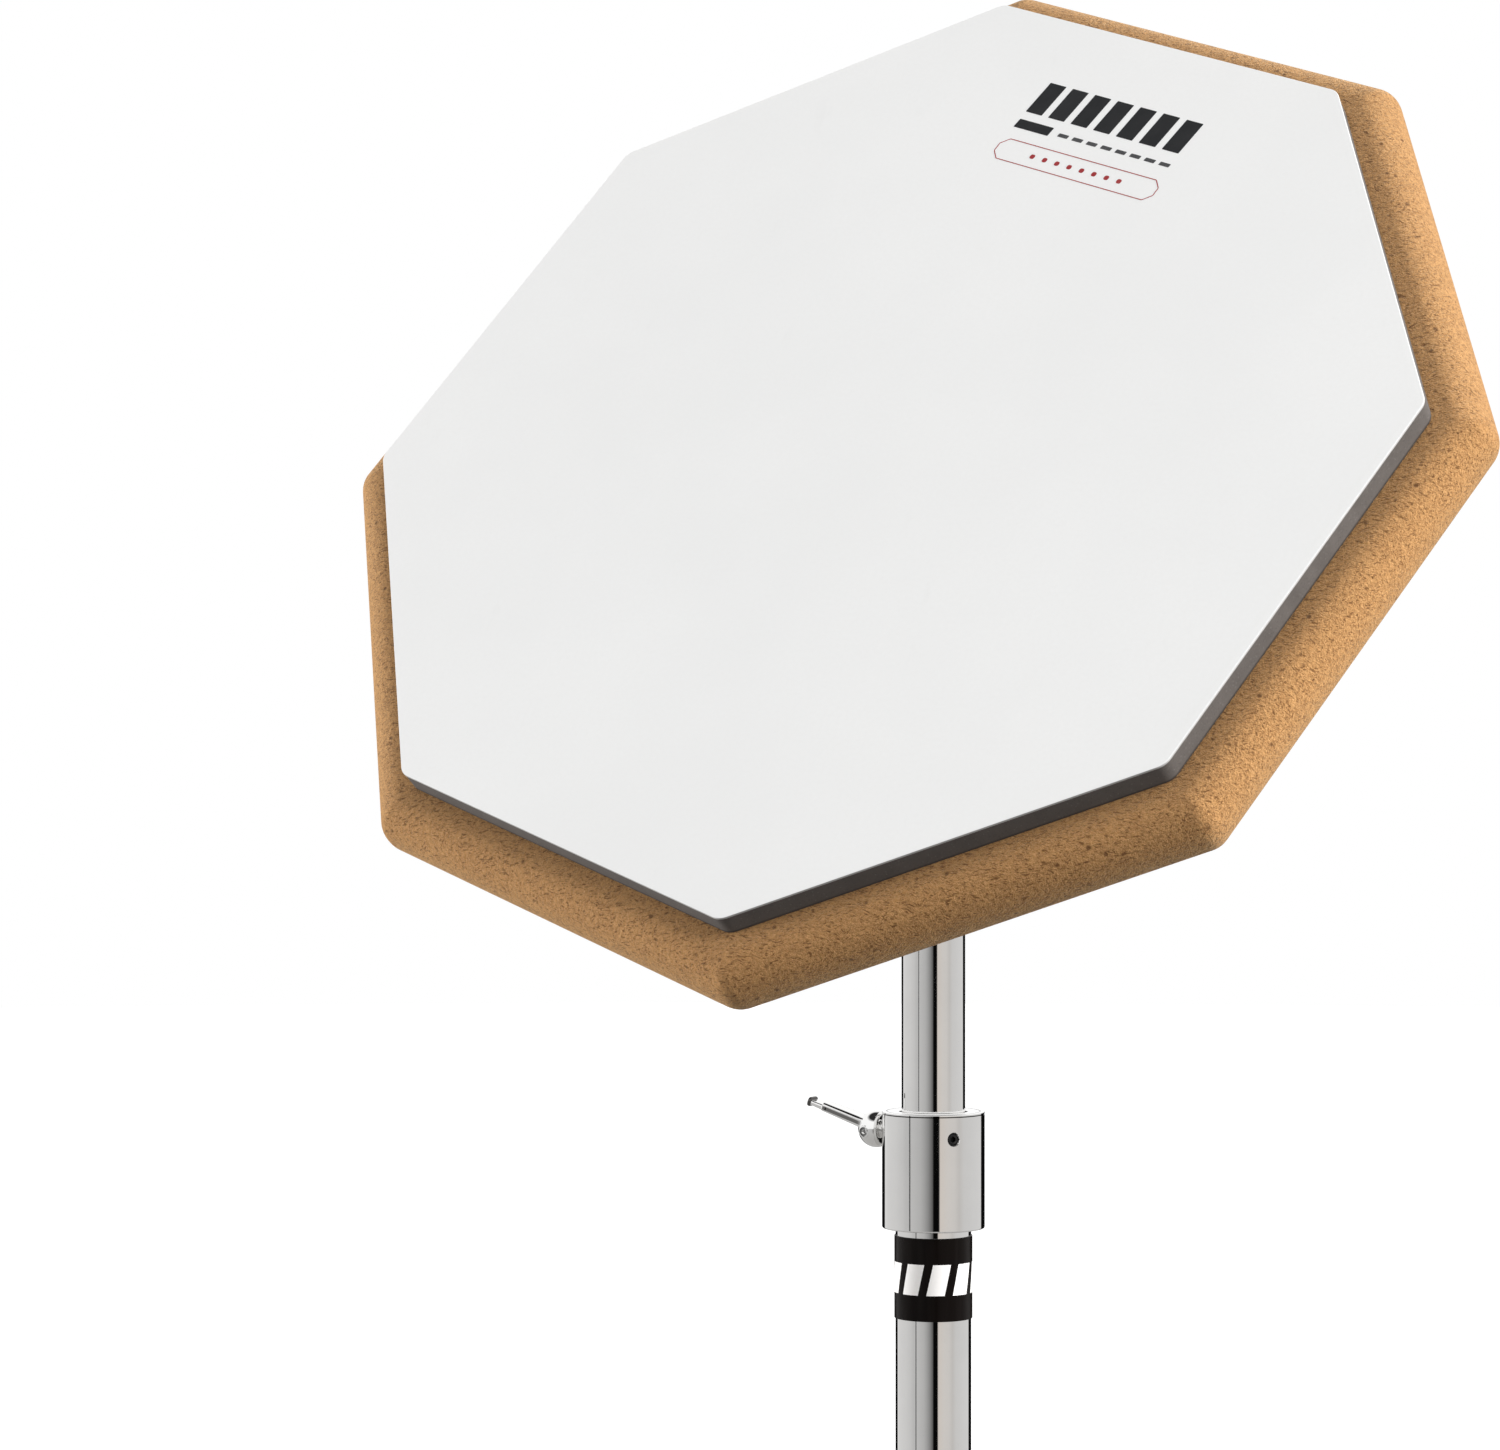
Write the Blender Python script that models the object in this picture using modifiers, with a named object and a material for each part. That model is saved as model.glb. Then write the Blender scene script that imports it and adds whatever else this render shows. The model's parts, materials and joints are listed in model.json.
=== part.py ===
"""An octagonal drummer's practice pad on its folding stand.

Metres, +Z up, standing on z = 0. The origin is under the middle of the stand's footprint box. The
post is upright at y = STAND_Y, and the pad leans towards -Y about a pivot whose axis runs along X.
"""

import math

import bmesh
import bpy
from mathutils import Matrix

MM = 0.001
GAP = 0.3 * MM

# The pad. Widths are across flats, and heights are measured from the tilt pivot along the stud.
BOARD_WIDTH = 304.8 * MM
BOARD_THICK = 19.05 * MM
BOARD_CORNER = 7.5 * MM
BOARD_NOSE = 9.3 * MM
FACE_WIDTH = 278.5 * MM
FACE_CORNER = 5 * MM
BOARD_BASE = 18.5 * MM
BOARD_TOP = BOARD_BASE + BOARD_THICK
RUBBER_BASE = BOARD_TOP + GAP
RUBBER_THICK = 5.7 * MM
FILM_BASE = RUBBER_BASE + RUBBER_THICK + GAP
FILM_THICK = 0.65 * MM
FLANGE_RADIUS = 24 * MM
FLANGE_BASE = 16.7 * MM
FLANGE_TOP = 18.2 * MM
FLANGE_SCREWS = 4
FLANGE_SCREW_CIRCLE = 17 * MM

# How the pad sits at rest.
REST_TILT = math.radians(55.06)
REST_SPIN = math.radians(1.05)

# The tilter.
PIVOT_Z = 700 * MM
KNUCKLE_RADIUS = 9.5 * MM
KNUCKLE_HALF = 8 * MM
NECK_TOP = 10 * MM
STUD_RADIUS = 4 * MM
BOLT_RADIUS = 3 * MM
EAR_INSIDE = KNUCKLE_HALF + GAP
EAR_OUTSIDE = 12.5 * MM
YOKE_BASE = 44 * MM
YOKE_FLOOR = 11.5 * MM
SOCKET_ROOF = 22 * MM

# The post: an upper tube that slides in a lower one, through a collar with a thumb screw.
UPPER_RADIUS = 8.5 * MM
UPPER_LENGTH = 400 * MM
LOWER_RADIUS = 10.1 * MM
WALL = 1.2 * MM
COLLAR_RADIUS = 13.7 * MM
COLLAR_TOP = PIVOT_Z - 154 * MM
COLLAR_HEIGHT = 31.15 * MM
LOWER_TOP = COLLAR_TOP - 16 * MM
CLAMP_DROP = 5.5 * MM
CLAMP_ANGLE = math.radians(180)
GRUB_DROP = 6.5 * MM
GRUB_ANGLE = math.radians(-40.3)
BAND_TOP = COLLAR_TOP - COLLAR_HEIGHT - 1.9 * MM
BAND_HEIGHT = 22 * MM
BAND_THICK = 0.25 * MM

# The tripod. Each leg and its brace are equally long from pin to pin, so they stay mirror images.
LEG_ANGLES = [math.radians(a) for a in (-90, 30, 150)]
PIN_CIRCLE = 20 * MM
LEG_SPREAD = math.radians(58)
LEG_LENGTH = 340 * MM
LEG_RADIUS = 6.35 * MM
BRACE_LENGTH = 125 * MM
BRACE_WIDTH = 11 * MM
BRACE_THICK = 2.5 * MM
BRACE_SIDE = LEG_RADIUS + 0.5 * MM
FOOT_RADIUS = 9.5 * MM
FOOT_CENTRE_Z = 8 * MM
HUB_Z = FOOT_CENTRE_Z + LEG_LENGTH * math.cos(LEG_SPREAD)
BASE_Z = HUB_Z - 2 * BRACE_LENGTH * math.cos(LEG_SPREAD)
HUB_RADIUS = 13.2 * MM
BASE_RADIUS = 12.8 * MM
BASE_HALF = 9 * MM
TONGUE_THICK = 6 * MM
EAR_THICK = 3 * MM
PIN_RADIUS = 2.2 * MM
HUB_CLAMP_RISE = 9 * MM
HUB_CLAMP_ANGLE = math.radians(90)

# With legs at -90, 30 and 150 degrees, the footprint's middle is a quarter of the reach from the post.
FOOT_REACH = PIN_CIRCLE + LEG_LENGTH * math.sin(LEG_SPREAD)
STAND_Y = FOOT_REACH / 4


def clear_scene():
    for obj in list(bpy.data.objects):
        bpy.data.objects.remove(obj)


def new_collection(name, hidden=False):
    collection = bpy.data.collections.new(name)
    collection.hide_render = hidden
    bpy.context.scene.collection.children.link(collection)
    return collection


def material(name, colour, roughness, metallic=0.0):
    made = bpy.data.materials.new(name)
    made.use_nodes = True
    shader = made.node_tree.nodes["Principled BSDF"]
    shader.inputs["Base Color"].default_value = (*colour, 1)
    shader.inputs["Roughness"].default_value = roughness
    shader.inputs["Metallic"].default_value = metallic
    return made


def empty(name, parent, location=(0, 0, 0), rotation=(0, 0, 0)):
    frame = bpy.data.objects.new(name, None)
    frame.parent = parent
    frame.location = location
    frame.rotation_euler = rotation
    frame.empty_display_size = 0.02
    PARTS.objects.link(frame)
    return frame


def part(name, mesh, finish, parent, location=(0, 0, 0), rotation=(0, 0, 0)):
    obj = bpy.data.objects.new(name, mesh)
    obj.parent = parent
    obj.location = location
    obj.rotation_euler = rotation
    mesh.materials.append(finish)
    PARTS.objects.link(obj)
    return obj


def cutter(name, mesh, parent, location=(0, 0, 0), rotation=(0, 0, 0)):
    obj = bpy.data.objects.new(name, mesh)
    obj.parent = parent
    obj.location = location
    obj.rotation_euler = rotation
    obj.hide_render = True
    obj.display_type = "WIRE"
    CUTTERS.objects.link(obj)
    return obj


def boolean(target, other, operation="DIFFERENCE"):
    modifier = target.modifiers.new(other.name, "BOOLEAN")
    modifier.operation = operation
    modifier.solver = "EXACT"
    modifier.object = other


def finish_mesh(bm, name):
    mesh = bpy.data.meshes.new(name)
    bm.to_mesh(mesh)
    bm.free()
    mesh.shade_smooth()
    mesh.set_sharp_from_angle(angle=math.radians(35))
    return mesh


def rod_mesh(name, radius, low, high, sides=24, turn=None, top_radius=None):
    """A cylinder from z = low to high, or a cone to top_radius, turned by the matrix if one is given."""
    bm = bmesh.new()
    shift = Matrix.Translation((0, 0, (low + high) / 2))
    end = radius if top_radius is None else top_radius
    bmesh.ops.create_cone(
        bm, cap_ends=True, segments=sides, radius1=radius, radius2=end, depth=high - low, matrix=shift
    )
    if turn is not None:
        bm.transform(turn)
    return finish_mesh(bm, name)


def box_mesh(name, low, high, bevel=0.0):
    bm = bmesh.new()
    size = [b - a for a, b in zip(low, high)]
    centre = [(a + b) / 2 for a, b in zip(low, high)]
    scale = Matrix.Diagonal((*size, 1))
    bmesh.ops.create_cube(bm, size=1, matrix=Matrix.Translation(centre) @ scale)
    if bevel:
        bmesh.ops.bevel(bm, geom=bm.edges[:], offset=bevel, segments=2, affect="EDGES", profile=0.5)
    return finish_mesh(bm, name)


def octagon_mesh(name, width, low, high, corner, nose=0.0, corner_steps=4, nose_steps=5):
    """An octagonal plate with corners on the X and Y axes, its corners and its rims rounded."""
    bm = bmesh.new()
    shift = Matrix.Translation((0, 0, (low + high) / 2))
    radius = width / 2 / math.cos(math.pi / 8)
    bmesh.ops.create_cone(
        bm, cap_ends=True, segments=8, radius1=radius, radius2=radius, depth=high - low, matrix=shift
    )
    uprights = [e for e in bm.edges if abs(e.verts[0].co.z - e.verts[1].co.z) > (high - low) / 2]
    if corner:
        setback = corner * math.tan(math.pi / 8)
        bmesh.ops.bevel(
            bm, geom=uprights, offset=setback, segments=corner_steps, affect="EDGES", profile=0.5
        )
    if nose:
        rims = [e for e in bm.edges if abs(e.verts[0].co.z - e.verts[1].co.z) < (high - low) / 2]
        bmesh.ops.bevel(bm, geom=rims, offset=nose, segments=nose_steps, affect="EDGES", profile=0.5)
    return finish_mesh(bm, name)


def turned(name, profile, finish, parent, location=(0, 0, 0), rotation=(0, 0, 0), steps=32, ring=False):
    """A turned piece. The profile of (radius, z) runs down the outside; a ring's closes on itself."""
    mesh = bpy.data.meshes.new(name)
    points = [(r, 0, z) for r, z in profile]
    edges = [(i, i + 1) for i in range(len(points) - 1)]
    if ring:
        edges.append((len(points) - 1, 0))
    mesh.from_pydata(points, edges, [])
    obj = part(name, mesh, finish, parent, location, rotation)
    screw = obj.modifiers.new("turn", "SCREW")
    screw.steps = steps
    screw.render_steps = steps
    screw.use_merge_vertices = True
    screw.merge_threshold = 0.00001
    screw.use_smooth_shade = True
    return obj


def arc(cx, cy, radius, start, stop, steps):
    angles = [start + (stop - start) * i / steps for i in range(steps + 1)]
    return [(cx + radius * math.cos(a), cy + radius * math.sin(a)) for a in angles]


def slot_outline(length, radius_a, radius_b, steps=8):
    """A plate's outline with a round end about the origin and another about (length, 0)."""
    lean = math.asin((radius_a - radius_b) / length)
    top = math.pi / 2 - lean
    far = arc(length, 0, radius_b, -top, top, steps)
    near = arc(0, 0, radius_a, top, 2 * math.pi - top, steps)
    return far + near


def plate_mesh(name, outlines, thickness):
    """A flat plate from closed outlines in its XY plane, centred on it; inner outlines are holes."""
    curve = bpy.data.curves.new(name, "CURVE")
    curve.dimensions = "2D"
    curve.fill_mode = "BOTH"
    curve.extrude = thickness / 2
    for outline in outlines:
        spline = curve.splines.new("POLY")
        spline.points.add(len(outline) - 1)
        for point, (x, y) in zip(spline.points, outline):
            point.co = (x, y, 0, 1)
        spline.use_cyclic_u = True
    guide = bpy.data.objects.new(name, curve)
    bpy.context.scene.collection.objects.link(guide)
    bpy.context.view_layer.update()
    graph = bpy.context.evaluated_depsgraph_get()
    mesh = bpy.data.meshes.new_from_object(guide.evaluated_get(graph))
    bpy.data.objects.remove(guide)
    bm = bmesh.new()
    bm.from_mesh(mesh)
    bmesh.ops.remove_doubles(bm, verts=bm.verts, dist=0.000001)
    bmesh.ops.recalc_face_normals(bm, faces=bm.faces)
    if bm.calc_volume(signed=True) < 0:
        bmesh.ops.reverse_faces(bm, faces=bm.faces)
    return finish_mesh(bm, name)


def copies_mesh(name, mesh, matrices):
    bm = bmesh.new()
    for matrix in matrices:
        copy = mesh.copy()
        copy.transform(matrix)
        bm.from_mesh(copy)
        bpy.data.meshes.remove(copy)
    return finish_mesh(bm, name)


def joined_copies(angles, matrix):
    return [Matrix.Rotation(a, 4, "Z") @ matrix for a in angles]


# Turns a rod along Z to lie along X, and a rod or a plate's thickness along Z to lie along Y.
ALONG_X = Matrix.Rotation(math.pi / 2, 4, "Y")
ACROSS_Y = Matrix.Rotation(math.pi / 2, 4, "X")
TURN_X = (0, math.pi / 2, 0)


def pad(frame):
    """The board with the rubber and its film on it. The frame's origin is the pivot, its Z the stud."""
    sharp = octagon_mesh("board", BOARD_WIDTH, BOARD_BASE, BOARD_TOP, 0, BOARD_NOSE)
    board = part("board", sharp, MDF, frame)
    past = 5 * MM
    rounding = octagon_mesh(
        "board_corners", BOARD_WIDTH + 0.02 * MM, BOARD_BASE - past, BOARD_TOP + past, BOARD_CORNER
    )
    boolean(board, cutter("board_corners", rounding, frame), "INTERSECT")
    boss_hole = rod_mesh("boss_hole", 6.8 * MM, BOARD_BASE - 5 * MM, BOARD_BASE + 15.5 * MM)
    boolean(board, cutter("boss_hole", boss_hole, frame))
    spots = []
    for i in range(FLANGE_SCREWS):
        angle = math.pi / 4 + 2 * math.pi * i / FLANGE_SCREWS
        x = FLANGE_SCREW_CIRCLE * math.cos(angle)
        y = FLANGE_SCREW_CIRCLE * math.sin(angle)
        spots.append(Matrix.Translation((x, y, 0)))
    drill = rod_mesh("drill", 2.05 * MM, FLANGE_BASE - 5 * MM, BOARD_BASE + 12.5 * MM, 12)
    drills = cutter("screw_holes", copies_mesh("screw_holes", drill, spots), frame)
    boolean(board, drills)
    rubber = octagon_mesh("rubber_pad", FACE_WIDTH, RUBBER_BASE, RUBBER_BASE + RUBBER_THICK, FACE_CORNER)
    part("rubber_pad", rubber, RUBBER, frame)
    film = octagon_mesh("striking_film", FACE_WIDTH, FILM_BASE, FILM_BASE + FILM_THICK, FACE_CORNER)
    part("striking_film", film, FILM, frame)
    flange_profile = [
        (6.5 * MM, BOARD_BASE + 14 * MM),
        (6.5 * MM, FLANGE_TOP),
        (FLANGE_RADIUS, FLANGE_TOP),
        (FLANGE_RADIUS, FLANGE_BASE),
        (STUD_RADIUS + GAP, FLANGE_BASE),
        (STUD_RADIUS + GAP, BOARD_BASE + 14 * MM),
    ]
    flange = turned("threaded_flange", flange_profile, ZINC, frame, ring=True)
    boolean(flange, drills)
    for i, spot in enumerate(spots):
        screw_profile = [
            (0, BOARD_BASE + 12 * MM),
            (1.0 * MM, BOARD_BASE + 9 * MM),
            (1.75 * MM, BOARD_BASE + 7 * MM),
            (1.75 * MM, FLANGE_BASE - GAP),
            (3.5 * MM, FLANGE_BASE - GAP),
            (3.2 * MM, FLANGE_BASE - 1.1 * MM),
            (2.0 * MM, FLANGE_BASE - 1.6 * MM),
            (0, FLANGE_BASE - 1.6 * MM),
        ]
        turned(f"flange_screw_{i + 1}", screw_profile, ZINC, frame, spot.to_translation(), steps=12)


def hex_mesh(name, across, low, high):
    """A plain hexagonal prism, as wide as a spanner for it."""
    bm = bmesh.new()
    radius = across / math.sqrt(3)
    shift = Matrix.Translation((0, 0, (low + high) / 2))
    bmesh.ops.create_cone(
        bm, cap_ends=True, segments=6, radius1=radius, radius2=radius, depth=high - low, matrix=shift
    )
    return finish_mesh(bm, name)


def tilt_head(frame):
    """The knuckle that turns on the tilt bolt, with the stud, its nut and its washer."""
    knuckle_mesh = rod_mesh("knuckle", KNUCKLE_RADIUS, -KNUCKLE_HALF, KNUCKLE_HALF, 32, ALONG_X)
    knuckle = part("tilt_knuckle", knuckle_mesh, CAST, frame)
    boolean(knuckle, cutter("neck", rod_mesh("neck", 7 * MM, 2 * MM, NECK_TOP), frame), "UNION")
    bolt_hole = rod_mesh("bolt_hole", BOLT_RADIUS + GAP, -20 * MM, 20 * MM, 24, ALONG_X)
    boolean(knuckle, cutter("knuckle_bolt_hole", bolt_hole, frame))
    stud_hole = rod_mesh("stud_hole", STUD_RADIUS + GAP, 5 * MM, NECK_TOP + 5 * MM)
    boolean(knuckle, cutter("stud_hole", stud_hole, frame))
    stud_end = BOARD_BASE + 13 * MM
    stud_profile = [
        (0, stud_end),
        (STUD_RADIUS - 0.8 * MM, stud_end),
        (STUD_RADIUS, stud_end - 1 * MM),
        (STUD_RADIUS, 5.3 * MM),
        (0, 5.3 * MM),
    ]
    turned("pad_stud", stud_profile, ZINC, frame, steps=24)
    nut = part("lock_nut", hex_mesh("lock_nut", 13 * MM, NECK_TOP + GAP, 15.1 * MM), ZINC, frame)
    nut_hole = rod_mesh("nut_hole", STUD_RADIUS + GAP, NECK_TOP - 2 * MM, 18 * MM)
    boolean(nut, cutter("nut_hole", nut_hole, frame))
    washer_profile = [
        (8 * MM, 16.4 * MM),
        (8 * MM, 15.4 * MM),
        (4.3 * MM, 15.4 * MM),
        (4.3 * MM, 16.4 * MM),
    ]
    turned("lock_washer", washer_profile, ZINC, frame, ring=True, steps=24)


def yoke(frame):
    """The forked casting on the upper tube's end, with the bolt that the knuckle turns on."""
    block = box_mesh(
        "yoke",
        (-EAR_OUTSIDE, -9.5 * MM, -27 * MM),
        (EAR_OUTSIDE, 9.5 * MM, -YOKE_FLOOR),
        1.5 * MM,
    )
    made = part("tilt_yoke", block, CAST, frame)
    ear = plate_mesh("ear", [slot_outline(15 * MM, 9.5 * MM, 9.45 * MM)], EAR_OUTSIDE - EAR_INSIDE)
    middle = (EAR_INSIDE + EAR_OUTSIDE) / 2
    sides = [Matrix.Translation((x, 0, 0)) @ ALONG_X for x in (-middle, middle)]
    boolean(made, cutter("ears", copies_mesh("ears", ear, sides), frame), "UNION")
    socket = rod_mesh("socket", 11.5 * MM, -YOKE_BASE, -20 * MM, 32)
    boolean(made, cutter("socket", socket, frame), "UNION")
    sweep = rod_mesh("sweep", KNUCKLE_RADIUS + 1 * MM, -EAR_INSIDE, EAR_INSIDE, 32, ALONG_X)
    boolean(made, cutter("knuckle_sweep", sweep, frame))
    tube_hole = rod_mesh("tube_hole", UPPER_RADIUS + GAP, -YOKE_BASE - 5 * MM, -SOCKET_ROOF)
    boolean(made, cutter("tube_hole", tube_hole, frame))
    bolt_hole = rod_mesh("ear_bolt_hole", BOLT_RADIUS + GAP, -20 * MM, 20 * MM, 24, ALONG_X)
    boolean(made, cutter("ear_bolt_hole", bolt_hole, frame))
    pin_hole = rod_mesh("pin_hole", 1.8 * MM, -20 * MM, 20 * MM, 12, ALONG_X)
    pin_cutter = cutter("pin_hole", pin_hole, frame, (0, 0, -33 * MM))
    boolean(made, pin_cutter)
    shank_end = 21.5 * MM
    bolt_profile = [
        (0, shank_end),
        (BOLT_RADIUS - 0.6 * MM, shank_end),
        (BOLT_RADIUS, shank_end - 0.8 * MM),
        (BOLT_RADIUS, -EAR_OUTSIDE - GAP),
        (5.6 * MM, -EAR_OUTSIDE - GAP),
        (5.6 * MM, -EAR_OUTSIDE - 2.5 * MM),
        (4.4 * MM, -EAR_OUTSIDE - 4 * MM),
        (0, -EAR_OUTSIDE - 4.4 * MM),
    ]
    turned("tilt_bolt", bolt_profile, CHROME, frame, rotation=TURN_X, steps=24)
    washer_profile = [
        (7 * MM, EAR_OUTSIDE + 1.4 * MM),
        (7 * MM, EAR_OUTSIDE + GAP),
        (BOLT_RADIUS + GAP, EAR_OUTSIDE + GAP),
        (BOLT_RADIUS + GAP, EAR_OUTSIDE + 1.4 * MM),
    ]
    turned("tilt_washer", washer_profile, ZINC, frame, rotation=TURN_X, ring=True, steps=24)
    pin_profile = [(0, 11.4 * MM), (1.5 * MM, 11.2 * MM), (1.5 * MM, -11.2 * MM), (0, -11.4 * MM)]
    turned("yoke_pin", pin_profile, ZINC, frame, (0, 0, -33 * MM), TURN_X, steps=12)
    return pin_cutter


def tilt_nut(frame):
    """The wing nut on the tilt bolt: a hub with two flared wings in the plane of its axis."""
    base = EAR_OUTSIDE + 1.7 * MM
    hub = rod_mesh("tilt_hub", 6 * MM, base, base + 6 * MM, 24, top_radius=4.6 * MM)
    nut = part("tilt_wing_nut", hub, CHROME, frame, rotation=TURN_X)
    wing = plate_mesh("tilt_wing", [slot_outline(8 * MM, 2.6 * MM, 3.6 * MM)], 2.4 * MM)
    spots = []
    for side in (1, -1):
        turn = Matrix.Rotation(-math.pi / 2 + side * math.radians(52), 4, "Y")
        place = Matrix.Translation((side * 3 * MM, 0, base + 3 * MM))
        spots.append(place @ turn @ ACROSS_Y)
    wings = cutter("tilt_wings", copies_mesh("tilt_wings", wing, spots), frame, rotation=TURN_X)
    boolean(nut, wings, "UNION")
    hole = rod_mesh("wing_nut_hole", BOLT_RADIUS + GAP, base - 5 * MM, base + 20 * MM)
    boolean(nut, cutter("wing_nut_hole", hole, frame, rotation=TURN_X))


def clamp_screw(name, frame, tip):
    """A thumb screw pointing along the frame's +Z: a domed hub, one long lever and a round heel."""
    shank_profile = [
        (0, 4.9 * MM),
        (2.4 * MM, 4.3 * MM),
        (3.9 * MM, 3 * MM),
        (4.75 * MM, 1.4 * MM),
        (4.95 * MM, 0),
        (4.7 * MM, -1.2 * MM),
        (3.9 * MM, -1.8 * MM),
        (2.5 * MM, -1.9 * MM),
        (2.5 * MM, -tip + 1 * MM),
        (1.7 * MM, -tip),
        (0, -tip),
    ]
    screw = turned(name, shank_profile, CHROME, frame, steps=24)
    root = 4 * MM
    end = 2.4 * MM
    reach = 20.8 * MM
    plan = [(-root, 0), (root, 0), (end, reach), (-end, reach)]
    lever = plate_mesh(name + "_lever", [plan], 2.6 * MM)
    lever.transform(ACROSS_Y)
    lean = (math.radians(-17), 0, 0)
    boolean(screw, cutter(name + "_lever", lever, frame, (0, 0.7 * MM, 0), lean), "UNION")
    heel = rod_mesh(name + "_heel", 1.55 * MM, -4.9 * MM, 4.9 * MM, 16, ALONG_X)
    boolean(screw, cutter(name + "_heel", heel, frame, (0, -0.5 * MM, 1.4 * MM)), "UNION")
    return screw


def upper_post(frame, pin_cutter):
    """The upper tube, hanging from the yoke, with the glide at its lower end."""
    top = -SOCKET_ROOF - GAP
    low = top - UPPER_LENGTH
    tube_profile = [
        (UPPER_RADIUS, top),
        (UPPER_RADIUS, low),
        (UPPER_RADIUS - WALL, low),
        (UPPER_RADIUS - WALL, top),
    ]
    tube = turned("upper_tube", tube_profile, CHROME, frame, ring=True)
    boolean(tube, pin_cutter)
    glide_profile = [
        (UPPER_RADIUS - WALL - GAP, low + 10 * MM),
        (UPPER_RADIUS - WALL - GAP, low - GAP),
        (UPPER_RADIUS + 0.1 * MM, low - GAP),
        (UPPER_RADIUS + 0.1 * MM, low - 4 * MM),
        (5 * MM, low - 4 * MM),
        (5 * MM, low + 10 * MM),
    ]
    turned("tube_glide", glide_profile, NYLON, frame, ring=True)


def side_hole(name, radius, angle, height, parent, reach=(0.004, 0.03)):
    """A cutter for a radial hole in the post, from reach[0] to reach[1] out from its axis."""
    mesh = rod_mesh(name, radius, reach[0], reach[1], 16, ALONG_X)
    return cutter(name, mesh, parent, (0, 0, height), (0, 0, angle))


def collar(frame):
    """The collar on the lower tube's top, its bush, its grub screw and the tube's band."""
    base = COLLAR_TOP - COLLAR_HEIGHT
    edge = 0.7 * MM
    collar_profile = [
        (UPPER_RADIUS + 0.7 * MM, COLLAR_TOP),
        (COLLAR_RADIUS - edge, COLLAR_TOP),
        (COLLAR_RADIUS, COLLAR_TOP - edge),
        (COLLAR_RADIUS, base + edge),
        (COLLAR_RADIUS - edge, base),
        (LOWER_RADIUS + GAP, base),
        (LOWER_RADIUS + GAP, COLLAR_TOP - 1.5 * MM),
        (UPPER_RADIUS + 0.7 * MM, COLLAR_TOP - 1.5 * MM),
    ]
    made = turned("height_collar", collar_profile, CHROME, frame, ring=True, steps=40)
    clamp_z = COLLAR_TOP - CLAMP_DROP
    clamp_hole = side_hole("clamp_hole", 2.8 * MM, CLAMP_ANGLE, clamp_z, frame)
    grub_z = COLLAR_TOP - GRUB_DROP
    grub_hole = side_hole("grub_hole", 1.5 * MM, GRUB_ANGLE, grub_z, frame)
    boolean(made, clamp_hole)
    boolean(made, grub_hole)
    bush_profile = [
        (LOWER_RADIUS, COLLAR_TOP - 1.8 * MM),
        (LOWER_RADIUS, LOWER_TOP + 2 * GAP),
        (UPPER_RADIUS + GAP, LOWER_TOP + 2 * GAP),
        (UPPER_RADIUS + GAP, COLLAR_TOP - 1.8 * MM),
    ]
    bush = turned("guide_bush", bush_profile, NYLON, frame, ring=True)
    boolean(bush, clamp_hole)
    grub = rod_mesh("collar_grub_screw", 1.2 * MM, 10.9 * MM, 13.1 * MM, 12, ALONG_X)
    part("collar_grub_screw", grub, BLACK, frame, (0, 0, grub_z), (0, 0, GRUB_ANGLE))
    band_profile = [
        (LOWER_RADIUS + GAP + BAND_THICK, BAND_TOP),
        (LOWER_RADIUS + GAP + BAND_THICK, BAND_TOP - BAND_HEIGHT),
        (LOWER_RADIUS + GAP, BAND_TOP - BAND_HEIGHT),
        (LOWER_RADIUS + GAP, BAND_TOP),
    ]
    turned("label_band", band_profile, BLACK, frame, ring=True)
    tube_low = BASE_Z - BASE_HALF
    tube_profile = [
        (LOWER_RADIUS, LOWER_TOP),
        (LOWER_RADIUS, tube_low),
        (LOWER_RADIUS - WALL, tube_low),
        (LOWER_RADIUS - WALL, LOWER_TOP),
    ]
    turned("lower_tube", tube_profile, CHROME, frame, ring=True)
    plug_profile = [
        (0, tube_low + 12 * MM),
        (LOWER_RADIUS - WALL - GAP, tube_low + 12 * MM),
        (LOWER_RADIUS - WALL - GAP, tube_low - GAP),
        (LOWER_RADIUS + 1 * MM, tube_low - GAP),
        (LOWER_RADIUS + 1 * MM, tube_low - 1.6 * MM),
        (LOWER_RADIUS - 1 * MM, tube_low - 3 * MM),
        (0, tube_low - 3 * MM),
    ]
    turned("tube_end_plug", plug_profile, NYLON, frame)


def ear_frame(side=0.0):
    """Turns a plate in XY upright, in a plane across the pin, at the pin circle and beside the leg."""
    return Matrix.Translation((PIN_CIRCLE, side, 0)) @ ACROSS_Y


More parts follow.
